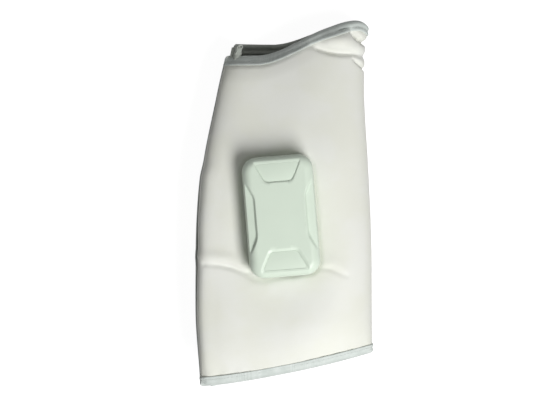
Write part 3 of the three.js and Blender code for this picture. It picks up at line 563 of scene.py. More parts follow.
CHAMBERS = {
    "front_calf_chamber": ("front_calf_bladder", LAP_ANGLE, 2 / 24, 15 / 24, 0.075, 0.379),
    "front_ankle_chamber": ("front_ankle_bladder", LAP_ANGLE, 2 / 24, 15 / 24, 0.391, 0.925),
    "back_calf_chamber": ("back_calf_bladder", TUCK_ANGLE, 2 / 22, 13 / 22, 0.075, 0.379),
    "back_ankle_chamber": ("back_ankle_bladder", TUCK_ANGLE, 2 / 22, 13 / 22, 0.391, 0.925),
}
chambers = []
for name, (node, turn, first, last, low, high) in CHAMBERS.items():
    tube = bent_grid(80, 60, chamber_place(turn * first, turn * last, low, high), (0.22, 0.12), closed=True)
    chamber = follow(finished(name, tube), turn > 0, node)
    chambers.append(chamber)
print(len(chambers), "air chambers")

# %% [markdown]
# Every raw edge is bound with folded tape. Seen from its end, the tape is a narrow U that holds the
# cover and the lining together. The U is drawn once, as a closed outline of reach from the edge and depth
# through the wall, and is carried along each edge by the same grid helper, so that the tape turns the
# corners with the cloth. A line of stitches sinks a little groove into it, as a sewing machine does.

# %% The tape's section
TAPE_WIDE, TAPE_WALL, STITCH_LINE = 8.8, 0.9, 5.3


def tape_outline(wall):
    """The closed outline of the tape round a wall of that thickness: reach from the edge, and depth."""
    outer, inner = -TAPE_WALL - 0.1, wall + TAPE_WALL + 0.1
    middle, half = (outer + inner) / 2, (inner - outer) / 2
    turns = np.linspace(-math.pi / 2, math.pi / 2, 11)
    nose = [(2.4 - 3.4 * math.cos(turn), middle + half * math.sin(turn)) for turn in turns]
    reaches = (TAPE_WIDE - 0.3, STITCH_LINE + 1.4, STITCH_LINE + 0.3, STITCH_LINE - 0.9, 3.2)
    sinks = (-0.1, -0.2, 0.7, 0.6, 0.3)
    outside = [(reach, outer + sink) for reach, sink in zip(reaches, sinks)]
    inside = [(reach, inner - sink) for reach, sink in zip(reversed(reaches), reversed(sinks))]
    ends = [(TAPE_WIDE, inner - 0.2), (TAPE_WIDE, wall + 0.1)]
    hollow = [(0.8, wall + 0.1), (0.8, -0.1)]
    return np.array([(TAPE_WIDE, outer + 0.2), *outside, *nose, *inside, *ends, *hollow, (TAPE_WIDE, -0.1)])


def beside_edge(edge, beside, reach):
    """Points that lie a reach in from an edge, towards the places beside it."""
    run = beside - edge
    return edge + run / np.linalg.norm(run, axis=-1, keepdims=True) * reach[..., None]


print("tape outline of", len(tape_outline(THIN_WALL)), "points")

# %% [markdown]
# A tape follows either an end of the wrap, where its angle changes, or a side edge, where its share of
# the length changes. Its u runs round the closed outline and its v runs along the edge. At the ends the
# reach is laid along the wrap; at the sides it is measured straight in from the edge.

# %% The tapes
HEM_REACH_SHARE = 0.88  # the hem's tape shows a little narrower, because the hem leans away
SIDE_TAPE_MARGIN = 0.006


def on_outline(u):
    """Reach and depth on the tape's closed outline, at shares of the way round it."""
    outline = tape_outline(THIN_WALL)
    known = np.arange(len(outline) + 1)
    return (np.interp(u * len(outline), known, np.append(line, line[0])) for line in outline.T)


def end_tape_place(start_angle, end_angle, at_share):
    inwards = -1 if at_share else HEM_REACH_SHARE

    def place(u, v):
        reach, depth = on_outline(u)
        angle = start_angle + v * (end_angle - start_angle)
        return wrap_place(angle, at_share + reach * inwards / NEAR_LONG, depth)

    return place


def side_tape_place(edge_angle, beside_angle):
    def place(u, v):
        reach, depth = on_outline(u)
        share = SIDE_TAPE_MARGIN + v * (1 - 2 * SIDE_TAPE_MARGIN)
        edge = wrap_place(edge_angle, share, depth)
        return beside_edge(edge, wrap_place(beside_angle, share, depth), reach)

    return place


TAPES = {
    "front_hem_tape": ("front_hem_binding", end_tape_place(SEAM_ANGLE, LAP_ANGLE, 0)),
    "front_mouth_tape": ("front_mouth_binding", end_tape_place(SEAM_ANGLE, LAP_ANGLE, 1)),
    "front_side_tape": ("front_side_binding", side_tape_place(LAP_ANGLE, LAP_ANGLE * 23 / 24)),
    "back_hem_tape": ("back_hem_binding", end_tape_place(SEAM_ANGLE, TUCK_ANGLE, 0)),
    "back_mouth_tape": ("back_mouth_binding", end_tape_place(SEAM_ANGLE, TUCK_ANGLE, 1)),
    "back_side_tape": ("back_side_binding", side_tape_place(TUCK_ANGLE, TUCK_ANGLE + math.radians(9.5))),
}
outline_points = len(tape_outline(THIN_WALL))
tapes = {}
for name, (node, place) in TAPES.items():
    tape = finished(name, bent_grid(outline_points, 170, place, (0.02, 0.25), closed=True))
    tapes[name] = follow(tape, name.startswith("front"), node)
print(len(tapes), "tapes")

# %% [markdown]
# Only the top of each stitch shows, a short low bulge of thread, so each one is a ball of few faces,
# squashed and turned to lie along its tape, about three and a half millimetres from the next. They catch
# the light as a broken pale line, which a flat texture can't do when the wrap is seen from the side.

# %% The stitches
STITCH_SIZE = (1.2 * MM, 0.36 * MM, 0.3 * MM, 1)
GROOVE_CORNER = 3  # which point of the tape's outline lies in the groove


def stitch_row(bm, place, count):
    in_groove = GROOVE_CORNER / outline_points
    steps = np.linspace(0.004, 0.996, count * 2 + 1)
    points, beside = (to_row(place(np.full(len(steps), u), steps)) for u in (in_groove, in_groove * 0.7))
    for i in range(1, count * 2, 2):
        along = Vector(points[i + 1] - points[i - 1]).normalized()
        aside = Vector(beside[i] - points[i]).normalized()
        up = along.cross(aside).normalized()
        turn = Matrix((along, up.cross(along), up)).transposed().to_4x4()
        place = Matrix.Translation(Vector(points[i])) @ turn @ Matrix.Diagonal(STITCH_SIZE)
        bmesh.ops.create_icosphere(bm, subdivisions=1, radius=1, matrix=place)


def stitches(half, **counts):
    bm = bmesh.new()
    for edge, count in counts.items():
        stitch_row(bm, TAPES[f"{half}_{edge}_tape"][1], count)
    return follow(finished(f"{half}_stitches", bm), half == "front")


front_stitches = stitches("front", hem=66, mouth=62, side=88)
back_stitches = stitches("back", hem=60, mouth=56, side=86)
print("stitch faces", len(front_stitches.data.polygons) + len(back_stitches.data.polygons))

# %% [markdown]
# The lap closes with a strip of nylon hooks under the front edge and a strip of loops on the back half.
# Each is a thin woven tape with its pile on the side that meets the other, sewn along its rim.

# %% The hook strip and the loop strip
STRIP_WIDE, STRIP_LONG, STRIP_RIM = 28, 190, 0.35
HOOK_WALL, LOOP_WALL = 1.1, 1.0
HOOK_TURNS = math.radians(150), math.radians(172.5)
LOOP_TURNS = math.radians(-181.4), math.radians(-200.5)


def strip_place(start, end, depth):
    def place(u, v):
        share = STRIP_START_SHARE + v * (STRIP_END_SHARE - STRIP_START_SHARE)
        to_rim = np.minimum(np.minimum(u, 1 - u) * STRIP_WIDE, np.minimum(v, 1 - v) * STRIP_LONG)
        return wrap_place(start + u * (end - start), share, depth + STRIP_RIM * (1 - smooth(to_rim, 0, 1.6)))

    return place


STRIP_SIZE = (STRIP_WIDE * MM, STRIP_LONG * MM)
hook_sheet = bent_grid(24, 120, strip_place(*HOOK_TURNS, THIN_WALL + LAYER_GAP), STRIP_SIZE, turned=True)
loop_sheet = bent_grid(24, 120, strip_place(*LOOP_TURNS, -LAYER_GAP - HOOK_WALL), STRIP_SIZE)
hook_patch = walled(finished("hook_patch", hook_sheet, "front_panel"), HOOK_WALL)
loop_patch = walled(finished("loop_patch", loop_sheet, "root"), LOOP_WALL)
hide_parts("hook_strip")
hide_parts("loop_strip")
print("the strips are", round((STRIP_END_SHARE - STRIP_START_SHARE) * NEAR_LONG), "mm long")

# %% [markdown]
# The pod's front shell is one moulding: a flat hourglass on top, a round edge all the way round, and
# four sunk facets, two of which hold the keys. A flat grid is first turned into rings: each ring of the
# grid becomes a rounded rectangle, so the mesh flows with the outline as a good moulding's does. Its
# heights are then worked out: the round edge, cut down to the facets where these are lower. The smooth
# minimum leaves the small round that a mould leaves at every edge.

# %% Rings of the pod
SHELL_WALL = 2.2
SHELL_FOOT, SHOULDER, PLATEAU = 9.8, 19, 28
EDGE_WIDE, EDGE_TALL, EDGE_DRAFT = 8.6, 9, 0.4
FACET_HEIGHT = PLATEAU - 1.4
LEDGE_HEIGHT, LEDGE_SLOPE = PLATEAU - 3.5, 0.15
LEDGE_INNER, LEDGE_OUTER = 24, 34
LEDGE_INNER_HALF, LEDGE_OUTER_HALF = 18, 39
WALL_LEAN, SOFT_LEAN, LEDGE_LEAN = 0.7, 1.7, 0.45  # how far a facet's wall runs outwards as it climbs 1


def outline_side(f, half_along, half_out, radius):
    """A place on one side of a rounded rectangle; f is -1 and 1 at the middles of its two corners."""
    straight = half_along - radius
    run = np.abs(f) * (straight + math.pi / 4 * radius)
    turn = np.maximum(run - straight, 0) / np.maximum(radius, 1e-6)
    along = np.sign(f) * (np.minimum(run, straight) + radius * np.sin(turn))
    return along, half_out - radius + radius * np.cos(turn)


def pod_ring(a, b, inset):
    """Turns a place (a, b) of a square, each from -1 to 1, into a place on the ring of that inset."""
    reach = np.maximum(np.maximum(np.abs(a), np.abs(b)), 1e-9)
    wide, long = POD_HALF[0] - inset, POD_HALF[1] - inset
    radius = np.clip(POD_CORNER - inset, 0, None)
    radius = np.minimum(np.maximum(radius, 0.15), np.maximum(wide, 0))
    on_end = np.abs(b) >= np.abs(a)
    end_x, end_y = outline_side(np.where(on_end, a / reach, 0), wide, long, radius)
    side_y, side_x = outline_side(np.where(on_end, 0, b / reach), long, wide, radius)
    return np.where(on_end, end_x, np.sign(a) * side_x), np.where(on_end, np.sign(b) * end_y, side_y)


def to_pod(x, y, z):
    """Turns the pod's own millimetres into places on the wrap, in metres."""
    turned_x = x * math.cos(POD_TURN) - y * math.sin(POD_TURN)
    turned_y = x * math.sin(POD_TURN) + y * math.cos(POD_TURN)
    return to_row(np.stack([turned_x, turned_y, z + POD_MIDDLE.z / MM], -1))


print("pod foot at", round(POD_MIDDLE.z, 4), "m")

# %% [markdown]
# The floors of the facets slope outwards. How far a place lies outside a facet's outline comes from its
# straight edges, joined by a smooth maximum so that the outline's inner corners are rounded, and the
# wall of the facet climbs with that distance.

# %% The facets
KEY_INNER, KEY_OUTER = 32, 48.5
KEY_INNER_HALF, KEY_OUTER_HALF = 12.2, 20.3
KEY_FLARE = (KEY_OUTER_HALF - KEY_INNER_HALF) / (KEY_OUTER - KEY_INNER)
KEY_GAP = 0.06


def key_floor(y):
    return FACET_HEIGHT - 0.01 * (np.abs(y) - KEY_INNER)


def key_facet(x, y):
    lean = math.hypot(1, KEY_FLARE)
    inner = KEY_INNER - np.abs(y)
    aside = (np.abs(x) - KEY_INNER_HALF - KEY_FLARE * (np.abs(y) - KEY_INNER)) / lean
    outside = -soft_least(-inner, -aside, 3) - KEY_GAP
    return key_floor(y) + np.maximum(outside, 0) / np.where(y < 0, SOFT_LEAN, WALL_LEAN)


def side_facet(x, y):
    out, widen = LEDGE_OUTER - LEDGE_INNER, LEDGE_OUTER_HALF - LEDGE_INNER_HALF
    inner = LEDGE_INNER - np.abs(x)
    aside = ((np.abs(y) - LEDGE_INNER_HALF) * out + inner * widen) / math.hypot(out, widen)
    outside = -soft_least(-inner, -aside, 1.6)
    return LEDGE_HEIGHT + LEDGE_SLOPE * inner + np.maximum(outside, 0) / LEDGE_LEAN


def facetted(x, y, z):
    least = soft_least(key_facet(x, y), side_facet(x, y), 0.2)
    return soft_least(z, least, 0.2)


print("key floor", round(float(key_floor(np.array(40.0))), 2), "mm above the foot")

# %% [markdown]
# The grid is bent to the shell, and its wall is given by Solidify. Going out from the middle of the grid,
# the first rings lie on the plateau, the next ones go round the edge, and the last ones go down the side.

# %% The front shell
ROUND_START, ROUND_STOP = 0.6, 0.88  # where on the grid the round edge starts and stops
CROWN = 0.3


def shell_profile(reach):
    """The inset and height of the shell's outside, from its middle at 0 to its foot at 1."""
    turn = (1 - np.clip((reach - ROUND_START) / (ROUND_STOP - ROUND_START), 0, 1)) * math.pi / 2
    on_plateau = POD_HALF[0] - (POD_HALF[0] - EDGE_WIDE - EDGE_DRAFT) * reach / ROUND_START
    on_edge = EDGE_DRAFT + EDGE_WIDE * (1 - np.cos(turn))
    down = np.clip((reach - ROUND_STOP) / (1 - ROUND_STOP), 0, 1)
    on_side = EDGE_DRAFT * (1 - down)
    inset = np.where(reach < ROUND_START, on_plateau, np.where(reach < ROUND_STOP, on_edge, on_side))
    edge_height = SHOULDER + EDGE_TALL * np.sin(turn)
    return inset, np.where(reach < ROUND_STOP, edge_height, SHOULDER - (SHOULDER - SHELL_FOOT) * down)


def shell_sheet(steps):
    bm = bmesh.new()
    bmesh.ops.create_grid(bm, x_segments=steps, y_segments=steps, size=1)
    a = np.array([vert.co.x for vert in bm.verts])
    b = np.array([vert.co.y for vert in bm.verts])
    reach = np.maximum(np.abs(a), np.abs(b))
    inset, height = shell_profile(reach)
    x, y = pod_ring(a, b, inset)
    crown = CROWN * (1 - smooth(reach, 0, 0.8))
    z = facetted(x, y, height - CROWN + crown)
    for vert, point in zip(bm.verts, to_pod(x, y, np.where(reach > ROUND_STOP, height, z))):
        vert.co = point
    bmesh.ops.remove_doubles(bm, verts=bm.verts, dist=5e-6)
    bmesh.ops.recalc_face_normals(bm, faces=bm.faces)
    return bm


pod_shell = walled(finished("pod_shell", shell_sheet(150), "front_panel"), SHELL_WALL)
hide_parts("pod_front_shell")
print("shell faces", len(pod_shell.data.polygons))

# %% [markdown]
# A key is a cap of the same plastic that lies flush in its facet, with a gap as thin as a hair round it.
# Its outline starts from four corners, whose corners are rounded by a vertex bevel; it is extruded down,
# and its top edge gets the small round of a moulding. Under the cap are a flange, which stops the key
# under the shell, and a stem over its switch.

# %% The keys
KEY_FILLET, KEY_EDGE, CAP_TALL = 3, 0.1, 3
FLANGE_WIDE, FLANGE_TOP, FLANGE_FOOT = 1.2, 2.5, 3.5
STEM_PLACE, STEM_RADIUS, STEM_FOOT, STEM_TOP = 40, 3, 20.5, 23.5


def key_corners(grow, sign):
    """The corners of a key's outline, let out by grow on every side."""
    lean = grow * math.hypot(1, KEY_FLARE)
    near, near_half = sign * (KEY_INNER - grow), KEY_INNER_HALF - KEY_FLARE * grow + lean
    far, far_half = sign * (KEY_OUTER + grow), KEY_OUTER_HALF + KEY_FLARE * grow + lean
    return [(-near_half, near), (near_half, near), (far_half, far), (-far_half, far)]


def key_block(bm, grow, sign, low, high, edge=0):
    """A key-shaped block; low and high give its foot and top for a place along the pod."""
    verts = [bm.verts.new((x, y, 0)) for x, y in key_corners(grow, sign)]
    bm.faces.new(verts)
    bmesh.ops.bevel(
        bm, geom=verts, offset=KEY_FILLET + grow, segments=8, profile=0.5, affect="VERTICES", material=-1
    )
    face = next(f for f in bm.faces if f.is_valid and len(f.verts) > 8 and f.calc_center_median().z == 0)
    out = bmesh.ops.extrude_face_region(bm, geom=[face])
    top = [item for item in out["geom"] if isinstance(item, bmesh.types.BMVert)]
    foot = list(face.verts)
    for vert in top:
        vert.co.z = high(vert.co.y)
    for vert in foot:
        vert.co.z = low(vert.co.y)
    if edge:
        edges = [e for e in bm.edges if e.verts[0] in set(top) and e.verts[1] in set(top)]
        bmesh.ops.bevel(bm, geom=edges, offset=edge, segments=4, profile=0.5, affect="EDGES", material=-1)
    return bm


def on_pod(bm):
    """Moves a bmesh drawn in the pod's own millimetres to its place on the wrap."""
    turned = Matrix.Rotation(POD_TURN, 4, "Z") @ Matrix.Scale(MM, 4)
    bmesh.ops.transform(bm, verts=bm.verts, matrix=Matrix.Translation(POD_MIDDLE) @ turned)
    bmesh.ops.recalc_face_normals(bm, faces=bm.faces)
    return bm


def rod(bm, x, y, radius, low, high):
    at = Matrix.Translation((x, y, (low + high) / 2))
    ends = {"radius1": radius, "radius2": radius, "depth": high - low, "cap_ends": True}
    bmesh.ops.create_cone(bm, segments=32, matrix=at, **ends)


def below_key(depth):
    """Gives the height of a place that deep under a key's top."""
    return lambda y: float(key_floor(np.array(y))) - depth


def key_cap(name, sign):
    bm = key_block(bmesh.new(), 0, sign, below_key(CAP_TALL), below_key(0), KEY_EDGE)
    key_block(bm, FLANGE_WIDE, sign, below_key(FLANGE_FOOT), below_key(FLANGE_TOP))
    rod(bm, 0, STEM_PLACE * sign, STEM_RADIUS, STEM_FOOT, STEM_TOP)
    cap = finished(f"{name}_cap", on_pod(bm), name)
    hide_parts(name)
    return cap


power_key_cap = key_cap("power_key", 1)
mode_key_cap = key_cap("mode_key", -1)
print("key faces", len(power_key_cap.data.polygons))

# %% [markdown]
# The shell gets four screw posts inside, and openings for the two keys and the charge socket. Each set is
# one mesh of plain blocks that a Boolean joins or takes away, which is how the inserts of a real mould
# leave them. The Booleans are applied at once, so that the finished piece needs no other object.

# %% Posts and openings of the shell
SCREW_PLACES = ((25.5, 44), (-25.5, 44), (-25.5, -44), (25.5, -44))
POST_RADIUS, POST_FOOT, POST_TOP = 3.2, 2.5, 23
SCREW_HOLE, SCREW_TOP = 1.6, 12.3
SOCKET_HEIGHT, SOCKET_SLOT = 17.6, (10.2, 8, 3.8, 1)


def rods(radius, low, high):
    """A rod at each screw, from a low to a high place."""
    bm = bmesh.new()
    for x, y in SCREW_PLACES:
        rod(bm, x, y, radius, low, high)
    return bm


def openings():
    bm = rods(SCREW_HOLE, -2, SCREW_TOP)
    for sign in (1, -1):
        key_block(bm, KEY_GAP, sign, lambda y: 12.0, lambda y: 30.0)
    slot = Matrix.Translation((0, POD_HALF[1], SOCKET_HEIGHT)) @ Matrix.Diagonal(SOCKET_SLOT)
    bmesh.ops.create_cube(bm, size=1, matrix=slot)
    return bm


def cut_shell(shell):
    tools = []
    for name, bm, operation in (
        ("posts", rods(POST_RADIUS, POST_FOOT, POST_TOP), "UNION"),
        ("openings", openings(), "DIFFERENCE"),
    ):
        tools.append(finished(name, on_pod(bm), flat=True))
        boolean = shell.modifiers.new(name, "BOOLEAN")
        boolean.operation, boolean.solver, boolean.object = operation, "MANIFOLD", tools[-1]
    seen = shell.evaluated_get(bpy.context.evaluated_depsgraph_get())
    mesh = bpy.data.meshes.new_from_object(seen)
    shell.modifiers.clear()
    shell.data = mesh
    for tool in tools:
        bpy.data.objects.remove(tool)


cut_shell(pod_shell)
print("shell faces after cutting", len(pod_shell.data.polygons))

# %% [markdown]
# Shader maths reads like school algebra here. A Link holds one output socket, and +, - and * on it add
# Math nodes. A Finish is one material with its nodes: its node method takes the node's type, its settings,
# and the values or links of its inputs.

# %% Finishes
class Link:
    def __init__(self, finish, socket):
        self.finish, self.socket = finish, socket

    def math(self, operation, *others, first=True):
        values = (self, *others) if first else (*others, self)
        return self.finish.node("Math", {"operation": operation}, dict(enumerate(values)))

    def __add__(self, other):
        return self.math("ADD", other)

    def __sub__(self, other):
        return self.math("SUBTRACT", other)

    def __rsub__(self, other):
        return self.math("SUBTRACT", other, first=False)

    def __mul__(self, other):
        return self.math("MULTIPLY", other)

    __radd__, __rmul__ = __add__, __mul__

    def waves(self, length):
        """Goes up and down between -1 and 1 once in every length."""
        return (self * (2 * math.pi / length)).math("SINE")

    def ramp(self, low, high):
        """Goes from 0 to 1 as the value goes from low to high."""
        values = {"Value": self, "From Min": low, "From Max": high}
        return self.finish.node("MapRange", {"interpolation_type": "SMOOTHSTEP"}, values)


class Finish:
    def __init__(self, name, tree=None):
        if tree is None:
            self.material = bpy.data.materials.new(name)
            self.material.use_nodes = True
            tree = self.material.node_tree
        self.tree = tree
        tree.nodes.clear()

    def node(self, kind, settings=None, values=None, out=0):
        prefix = "" if hasattr(bpy.types, kind) else "ShaderNode"
        node = self.tree.nodes.new(prefix + kind)
        for setting, value in (settings or {}).items():
            setattr(node, setting, value)
        for key, value in (values or {}).items():
            if isinstance(value, Link):
                self.tree.links.new(value.socket, node.inputs[key])
            else:
                node.inputs[key].default_value = value
        return Link(self, node.outputs[out] if node.outputs else None)

    def places(self):
        return self.node("TexCoord", out="Object")

    def threads(self):
        return self.node("UVMap", {"uv_map": "weave"})

    def across_and_along(self):
        """How far across and how far along the cloth a place is, in metres."""
        outputs = self.node("SeparateXYZ", None, {0: self.threads()}).socket.node.outputs
        return Link(self, outputs[0]), Link(self, outputs[1])

    def noise(self, scale, detail=2.0, at=None, stretch=None):
        at = at or self.places()
        if stretch:
            at = self.node("Mapping", None, {"Vector": at, "Scale": stretch})
        return self.node("TexNoise", None, {"Vector": at, "Scale": scale, "Detail": detail})

    def mixed(self, factor, first, second):
        factor_slot, first_slot, second_slot = 0, 6, 7
        values = {factor_slot: factor, first_slot: (*first, 1), second_slot: (*second, 1)}
        return self.node("Mix", {"data_type": "RGBA"}, values, out=2)

    def bump(self, height, distance, strength=1.0, below=None):
        values = {"Height": height, "Distance": distance, "Strength": strength}
        if below:
            values["Normal"] = below
        return self.node("Bump", None, values)

    def plastic(self, color, roughness, normal=None, **constants):
        values = {"Base Color": color if isinstance(color, Link) else (*color, 1), "Roughness": roughness}
        if normal:
            values["Normal"] = normal
        for key, value in constants.items():
            values[key.replace("_", " ").title().replace("Ior", "IOR")] = value
        return self.made(self.node("BsdfPrincipled", None, values))

    def made(self, shader):
        self.node("OutputMaterial", None, {"Surface": shader})
        return self.material


def srgb(red, green, blue):
    """A screen colour, 0 to 255, as the light that it stands for."""
    shares = (red / 255, green / 255, blue / 255)
    return tuple(v / 12.92 if v <= 0.04 else ((v + 0.055) / 1.055) ** 2.4 for v in shares)


def dress(finish, *pieces):
    """Gives a finish to pieces, and to CAD nodes by their names."""
    for piece in pieces:
        obj = bpy.data.objects[piece] if isinstance(piece, str) else piece
        if not obj.material_slots:
            obj.data.materials.append(finish)
        for slot in obj.material_slots:
            slot.material = finish


print("white is", srgb(255, 255, 255))

# %% [markdown]
# The cover is a satin-faced cloth: from a step away it looks as smooth as soft leather, with a faint
# shift in tone where the foam below is thicker. Close up, fine threads cross it, half a millimetre
# apart. The threads follow the cloth's own map, so they bend with it.

# %% Cloth finishes
def satin(name, warm, cool, thread=0.0006):
    finish = Finish(name)
    across, along = finish.across_and_along()
    weave = across.waves(thread) * along.waves(thread) * 0.5 + 0.5
    tone = finish.noise(26, 3)
    slub = finish.noise(900, 2, at=finish.threads(), stretch=(0.15, 1, 1))
    shade = finish.mixed(tone.ramp(0.35, 0.65) * 0.7 + slub * 0.3, warm, cool)
    fine = finish.bump(weave + slub * 0.8, 0.00003, 0.5)
    soft = finish.bump(finish.noise(85, 3), 0.0004, 0.35, below=fine)
    return finish.plastic(
        shade, tone.ramp(0.2, 0.8) * 0.08 + 0.5, soft, sheen_weight=0.25, sheen_roughness=0.45,
        specular_ior_level=0.35,
    )


def ribbed(name, light, dark, rib=0.0011):
    finish = Finish(name)
    _, along = finish.across_and_along()
    ribs = along.waves(rib) * 0.5 + 0.5
    wear = finish.noise(120, 4)
    shade = finish.mixed(ribs * 0.35 + wear.ramp(0.3, 0.7) * 0.5, dark, light)
    return finish.plastic(shade, 0.62, finish.bump(ribs, 0.00008, 0.6), sheen_weight=0.15)


def knit(name, light, dark, loop=0.0016):
    finish = Finish(name)
    across, along = finish.across_and_along()
    columns = across.waves(2 * loop).math("ABSOLUTE")
    rows = (along + columns * (loop * 0.35)).waves(loop) * 0.5 + 0.5
    height = columns * 0.6 + rows * 0.4
    fuzz = finish.noise(1500, 3)
    shade = finish.mixed(height * 0.7 + fuzz * 0.3, dark, light)
    return finish.plastic(shade, 0.85, finish.bump(height + fuzz * 0.3, 0.0002, 0.7), sheen_weight=0.3)


COVER = satin("satin_cover", srgb(228, 229, 218), srgb(232, 233, 227))
TAPE = ribbed("binding_tape", srgb(218, 224, 220), srgb(194, 202, 197))
# The back half's mouth and side tapes get a darker copy of the same binding tape: this is painted shade, for
# tapes that lie in the front half's shadow.
SHADED_TAPE = ribbed("binding_tape_painted_shade", srgb(178, 182, 174), srgb(150, 156, 148))
LINING = knit("knit_lining", srgb(150, 150, 142), srgb(96, 97, 92))
dress(COVER, front_cover_cloth, back_cover_cloth)
dress(TAPE, *tapes.values())
dress(SHADED_TAPE, tapes["back_mouth_tape"], tapes["back_side_tape"])
dress(LINING, front_lining_cloth, back_lining_cloth)
print("cloth finishes made")

# %% [markdown]
# The stitches have no map, so their finish reads the place on the object instead. The hooks and loops
# are piles: a dense field of tiny points, made as a cell pattern in the bump.

# %% Thread, hooks, loops and film
def pile(name, light, dark, spacing, rise):
    finish = Finish(name)
    cells = finish.node("TexVoronoi", None, {"Vector": finish.places(), "Scale": 1 / spacing})
    fuzz = finish.noise(2500, 2)
    shade = finish.mixed(cells.ramp(0.1, 0.6) * 0.7 + fuzz * 0.3, light, dark)
    return finish.plastic(shade, 0.7, finish.bump(1 - cells, rise, 0.8), sheen_weight=0.2)


def twisted(name, light, dark):
    finish = Finish(name)
    values = {"Vector": finish.places(), "Scale": 900.0}
    twist = finish.node("TexWave", {"bands_direction": "DIAGONAL"}, values)
    shade = finish.mixed(twist, dark, light)
    return finish.plastic(shade, 0.5, finish.bump(twist, 0.00006, 0.6))


def film(name, color):
    finish = Finish(name)
    cloud = finish.noise(60, 3)
    wrinkle = finish.noise(220, 4, stretch=(1, 0.35, 1))
    shade = finish.mixed(cloud, color, tuple(v * 0.85 for v in color))
    return finish.plastic(shade, 0.28, finish.bump(wrinkle, 0.0003, 0.4), coat_weight=0.2)


THREAD = twisted("sewing_thread", srgb(208, 212, 206), srgb(160, 166, 160))
dress(THREAD, front_stitches, back_stitches)
dress(pile("nylon_hooks", srgb(120, 124, 120), srgb(70, 73, 71), 0.0016, 0.0006), hook_patch)
dress(pile("nylon_loops", srgb(150, 154, 150), srgb(104, 108, 104), 0.0009, 0.0004), loop_patch)
dress(film("chamber_film", srgb(196, 202, 204)), *chambers)
print("small soft finishes made")

# %% [markdown]
# The pod is a satin mint plastic. A spark-eroded mould leaves a very fine even grain, which breaks up the
# gloss, and the colour hardly varies. The roughness varies a little at random. The inner works get plain
# engineering finishes, each with the small detail that the real one has: the brushed can of a motor, the
# speckled laminate of a board, the shrunk wrap of a cell.

# %% Finishes of the pod and its works
def moulded(name, color, grain=0.00002, roughness=0.42, shift=0.97):
    finish = Finish(name)
    grit = finish.noise(2600, 2)
    flow = finish.noise(30, 2)
    shade = finish.mixed(flow.ramp(0.3, 0.7), color, tuple(v * shift for v in color))
    rubbed = flow * 0.1 + roughness - 0.05
    return finish.plastic(shade, rubbed, finish.bump(grit, grain, 0.6), specular_ior_level=0.45)


def brushed(name, color, stretch=(1, 40, 40), roughness=0.3):
    finish = Finish(name)
    lines = finish.noise(300, 3, stretch=stretch)
    shade = finish.mixed(lines, color, tuple(v * 0.8 for v in color))
    return finish.plastic(shade, lines * 0.15 + roughness, finish.bump(lines, 0.00002, 0.5), metallic=1.0)


def speckled(name, color, other, scale, roughness):
    finish = Finish(name)
    spots = finish.node("TexVoronoi", None, {"Vector": finish.places(), "Scale": scale})
    shade = finish.mixed(spots.ramp(0.2, 0.7), color, other)
    return finish.plastic(shade, roughness, finish.bump(finish.noise(1800, 2), 0.00003, 0.5))


MINT = moulded("mint_plastic", srgb(216, 229, 213), roughness=0.36)
dress(MINT, pod_shell, power_key_cap, mode_key_cap, "pod_back_shell")
dress(moulded("gasket_rubber", srgb(62, 66, 64), 0.00003, 0.7), "pod_gasket")
dress(speckled("board_laminate", srgb(32, 92, 62), srgb(26, 74, 52), 700, 0.4), "circuit_board")
dress(moulded("black_plastic", srgb(34, 35, 36), 0.00002, 0.45), "power_switch", "mode_switch")
dress(moulded("valve_plastic", srgb(40, 41, 43), 0.00003, 0.5), "ankle_valve", "calf_valve")
dress(brushed("socket_steel", srgb(196, 198, 200)), "charge_socket")
dress(speckled("cell_wrap", srgb(58, 104, 150), srgb(52, 94, 138), 220, 0.3), "battery_cell")
dress(brushed("motor_can", srgb(176, 179, 182), (40, 1, 40)), "pump_motor")
dress(moulded("pump_plastic", srgb(226, 226, 222), 0.00003, 0.45), "pump_head", "tee_fitting")
dress(moulded("silicone", srgb(222, 224, 220), 0.00001, 0.35), "ankle_hose", "calf_hose")
dress(moulded("nipple_plastic", srgb(216, 218, 214), 0.00002, 0.5), "ankle_nipple", "calf_nipple")
dress(moulded("plate_plastic", srgb(222, 223, 219), 0.00004, 0.5), "backing_plate")
dress(brushed("screw_steel", srgb(188, 190, 192), (1, 1, 30)), *(f"clamp_screw_{i}" for i in (1, 2, 3, 4)))
print(len(bpy.data.materials), "materials")

# %% [markdown]
# The photograph is taken from straight above on plain white. The floor is a pale sheet; what the camera
# sees of it is lifted to white with a little light of its own, while the lamps still draw the shadow of
# the wrap on it. Glossy and clear surfaces see the same white.

# %% Floor and world
floor_bm = bmesh.new()
bmesh.ops.create_grid(floor_bm, x_segments=1, y_segments=1, size=6)
floor = finished("floor", floor_bm)
floor.location.z = -0.0002
floor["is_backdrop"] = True


def seen_directly(finish):
    rays = finish.node("LightPath").socket.node.outputs
    kinds = ("Camera", "Glossy", "Transmission")
    camera, glossy, clear = (Link(finish, rays[f"Is {kind} Ray"]) for kind in kinds)
    return camera.math("MAXIMUM", glossy).math("MAXIMUM", clear)


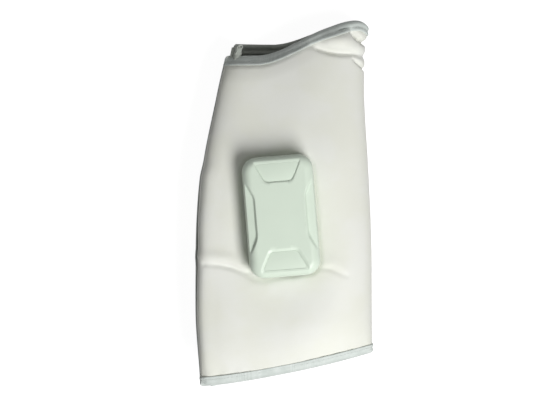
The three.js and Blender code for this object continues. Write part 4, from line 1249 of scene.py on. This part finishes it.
floor_finish = Finish("floor_sheet")
grain = floor_finish.noise(40, 3)
paper = floor_finish.node("BsdfDiffuse", None, {"Color": floor_finish.mixed(grain, (0.3,) * 3, (0.29,) * 3)})
lift = seen_directly(floor_finish) * 0.93
glow = floor_finish.node("Emission", None, {"Color": (1, 1, 1, 1), "Strength": lift})
dress(floor_finish.made(floor_finish.node("AddShader", None, {0: paper, 1: glow})), floor)

world = bpy.data.worlds.new("studio")
bpy.context.scene.world = world
world.use_nodes = True
sky = Finish("studio", world.node_tree)
strength = seen_directly(sky) * 0.8 + 0.2
back = sky.node("Background", None, {"Color": (1, 1, 1, 1), "Strength": strength})
sky.node("OutputWorld", None, {"Surface": back})
print("floor and world ready")

# %% [markdown]
# The light in the photograph comes from the lower right, about 52 degrees above the table: walls that
# face down or right are bright, and the pod's soft shadow falls up and to the left. One big soft lamp
# does that. It is so near that the lower end of the wrap, which is closer to it, is the brightest.

# %% Lamp
def lamp(name, place, aim, wide, tall, power):
    light = bpy.data.lights.new(name, "AREA")
    light.shape, light.size, light.size_y, light.energy = "ELLIPSE", wide, tall, power
    obj = linked(name, light)
    obj.location = place
    away = (Vector(place) - Vector(aim)).normalized()
    obj.rotation_euler = (math.asin(-away.y), math.atan2(away.x, away.z), 0)
    return obj


key_lamp = lamp("key_lamp", (0.81, -1.02, 1.7), (0, 0, 0.05), 0.8, 1.7, 43)
print("key lamp", round(key_lamp.location.length, 2), "m away")

# %% [markdown]
# A long lens high above the wrap gives the photograph's almost flat view. The frame is 547 by 410 pixels,
# and 0.93 mm to a pixel makes it 509 mm wide at half the height of the wrap.

# %% Camera
LENS, SENSOR = 180, 36
PICTURE = (547, 410)
FIELD, FIELD_HEIGHT = PICTURE[0] * MM_PER_PIXEL * MM, 0.036
camera_data = bpy.data.cameras.new("camera")
camera_data.lens, camera_data.sensor_width = LENS, SENSOR
camera = linked("camera", camera_data)
middle = to_row(np.array([*photo_place(PICTURE[0] / 2, PICTURE[1] / 2), 0.0]))
camera.location = (middle[0], middle[1], FIELD_HEIGHT + FIELD * LENS / SENSOR)
camera_data.clip_end = 20
bpy.context.scene.camera = camera
bpy.context.scene.view_settings.view_transform = "Standard"
print("camera at", [round(v, 4) for v in camera.location])

# %% Sizes and the end
low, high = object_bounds()
print("scene box", [round(v, 4) for v in (*low, *high)])
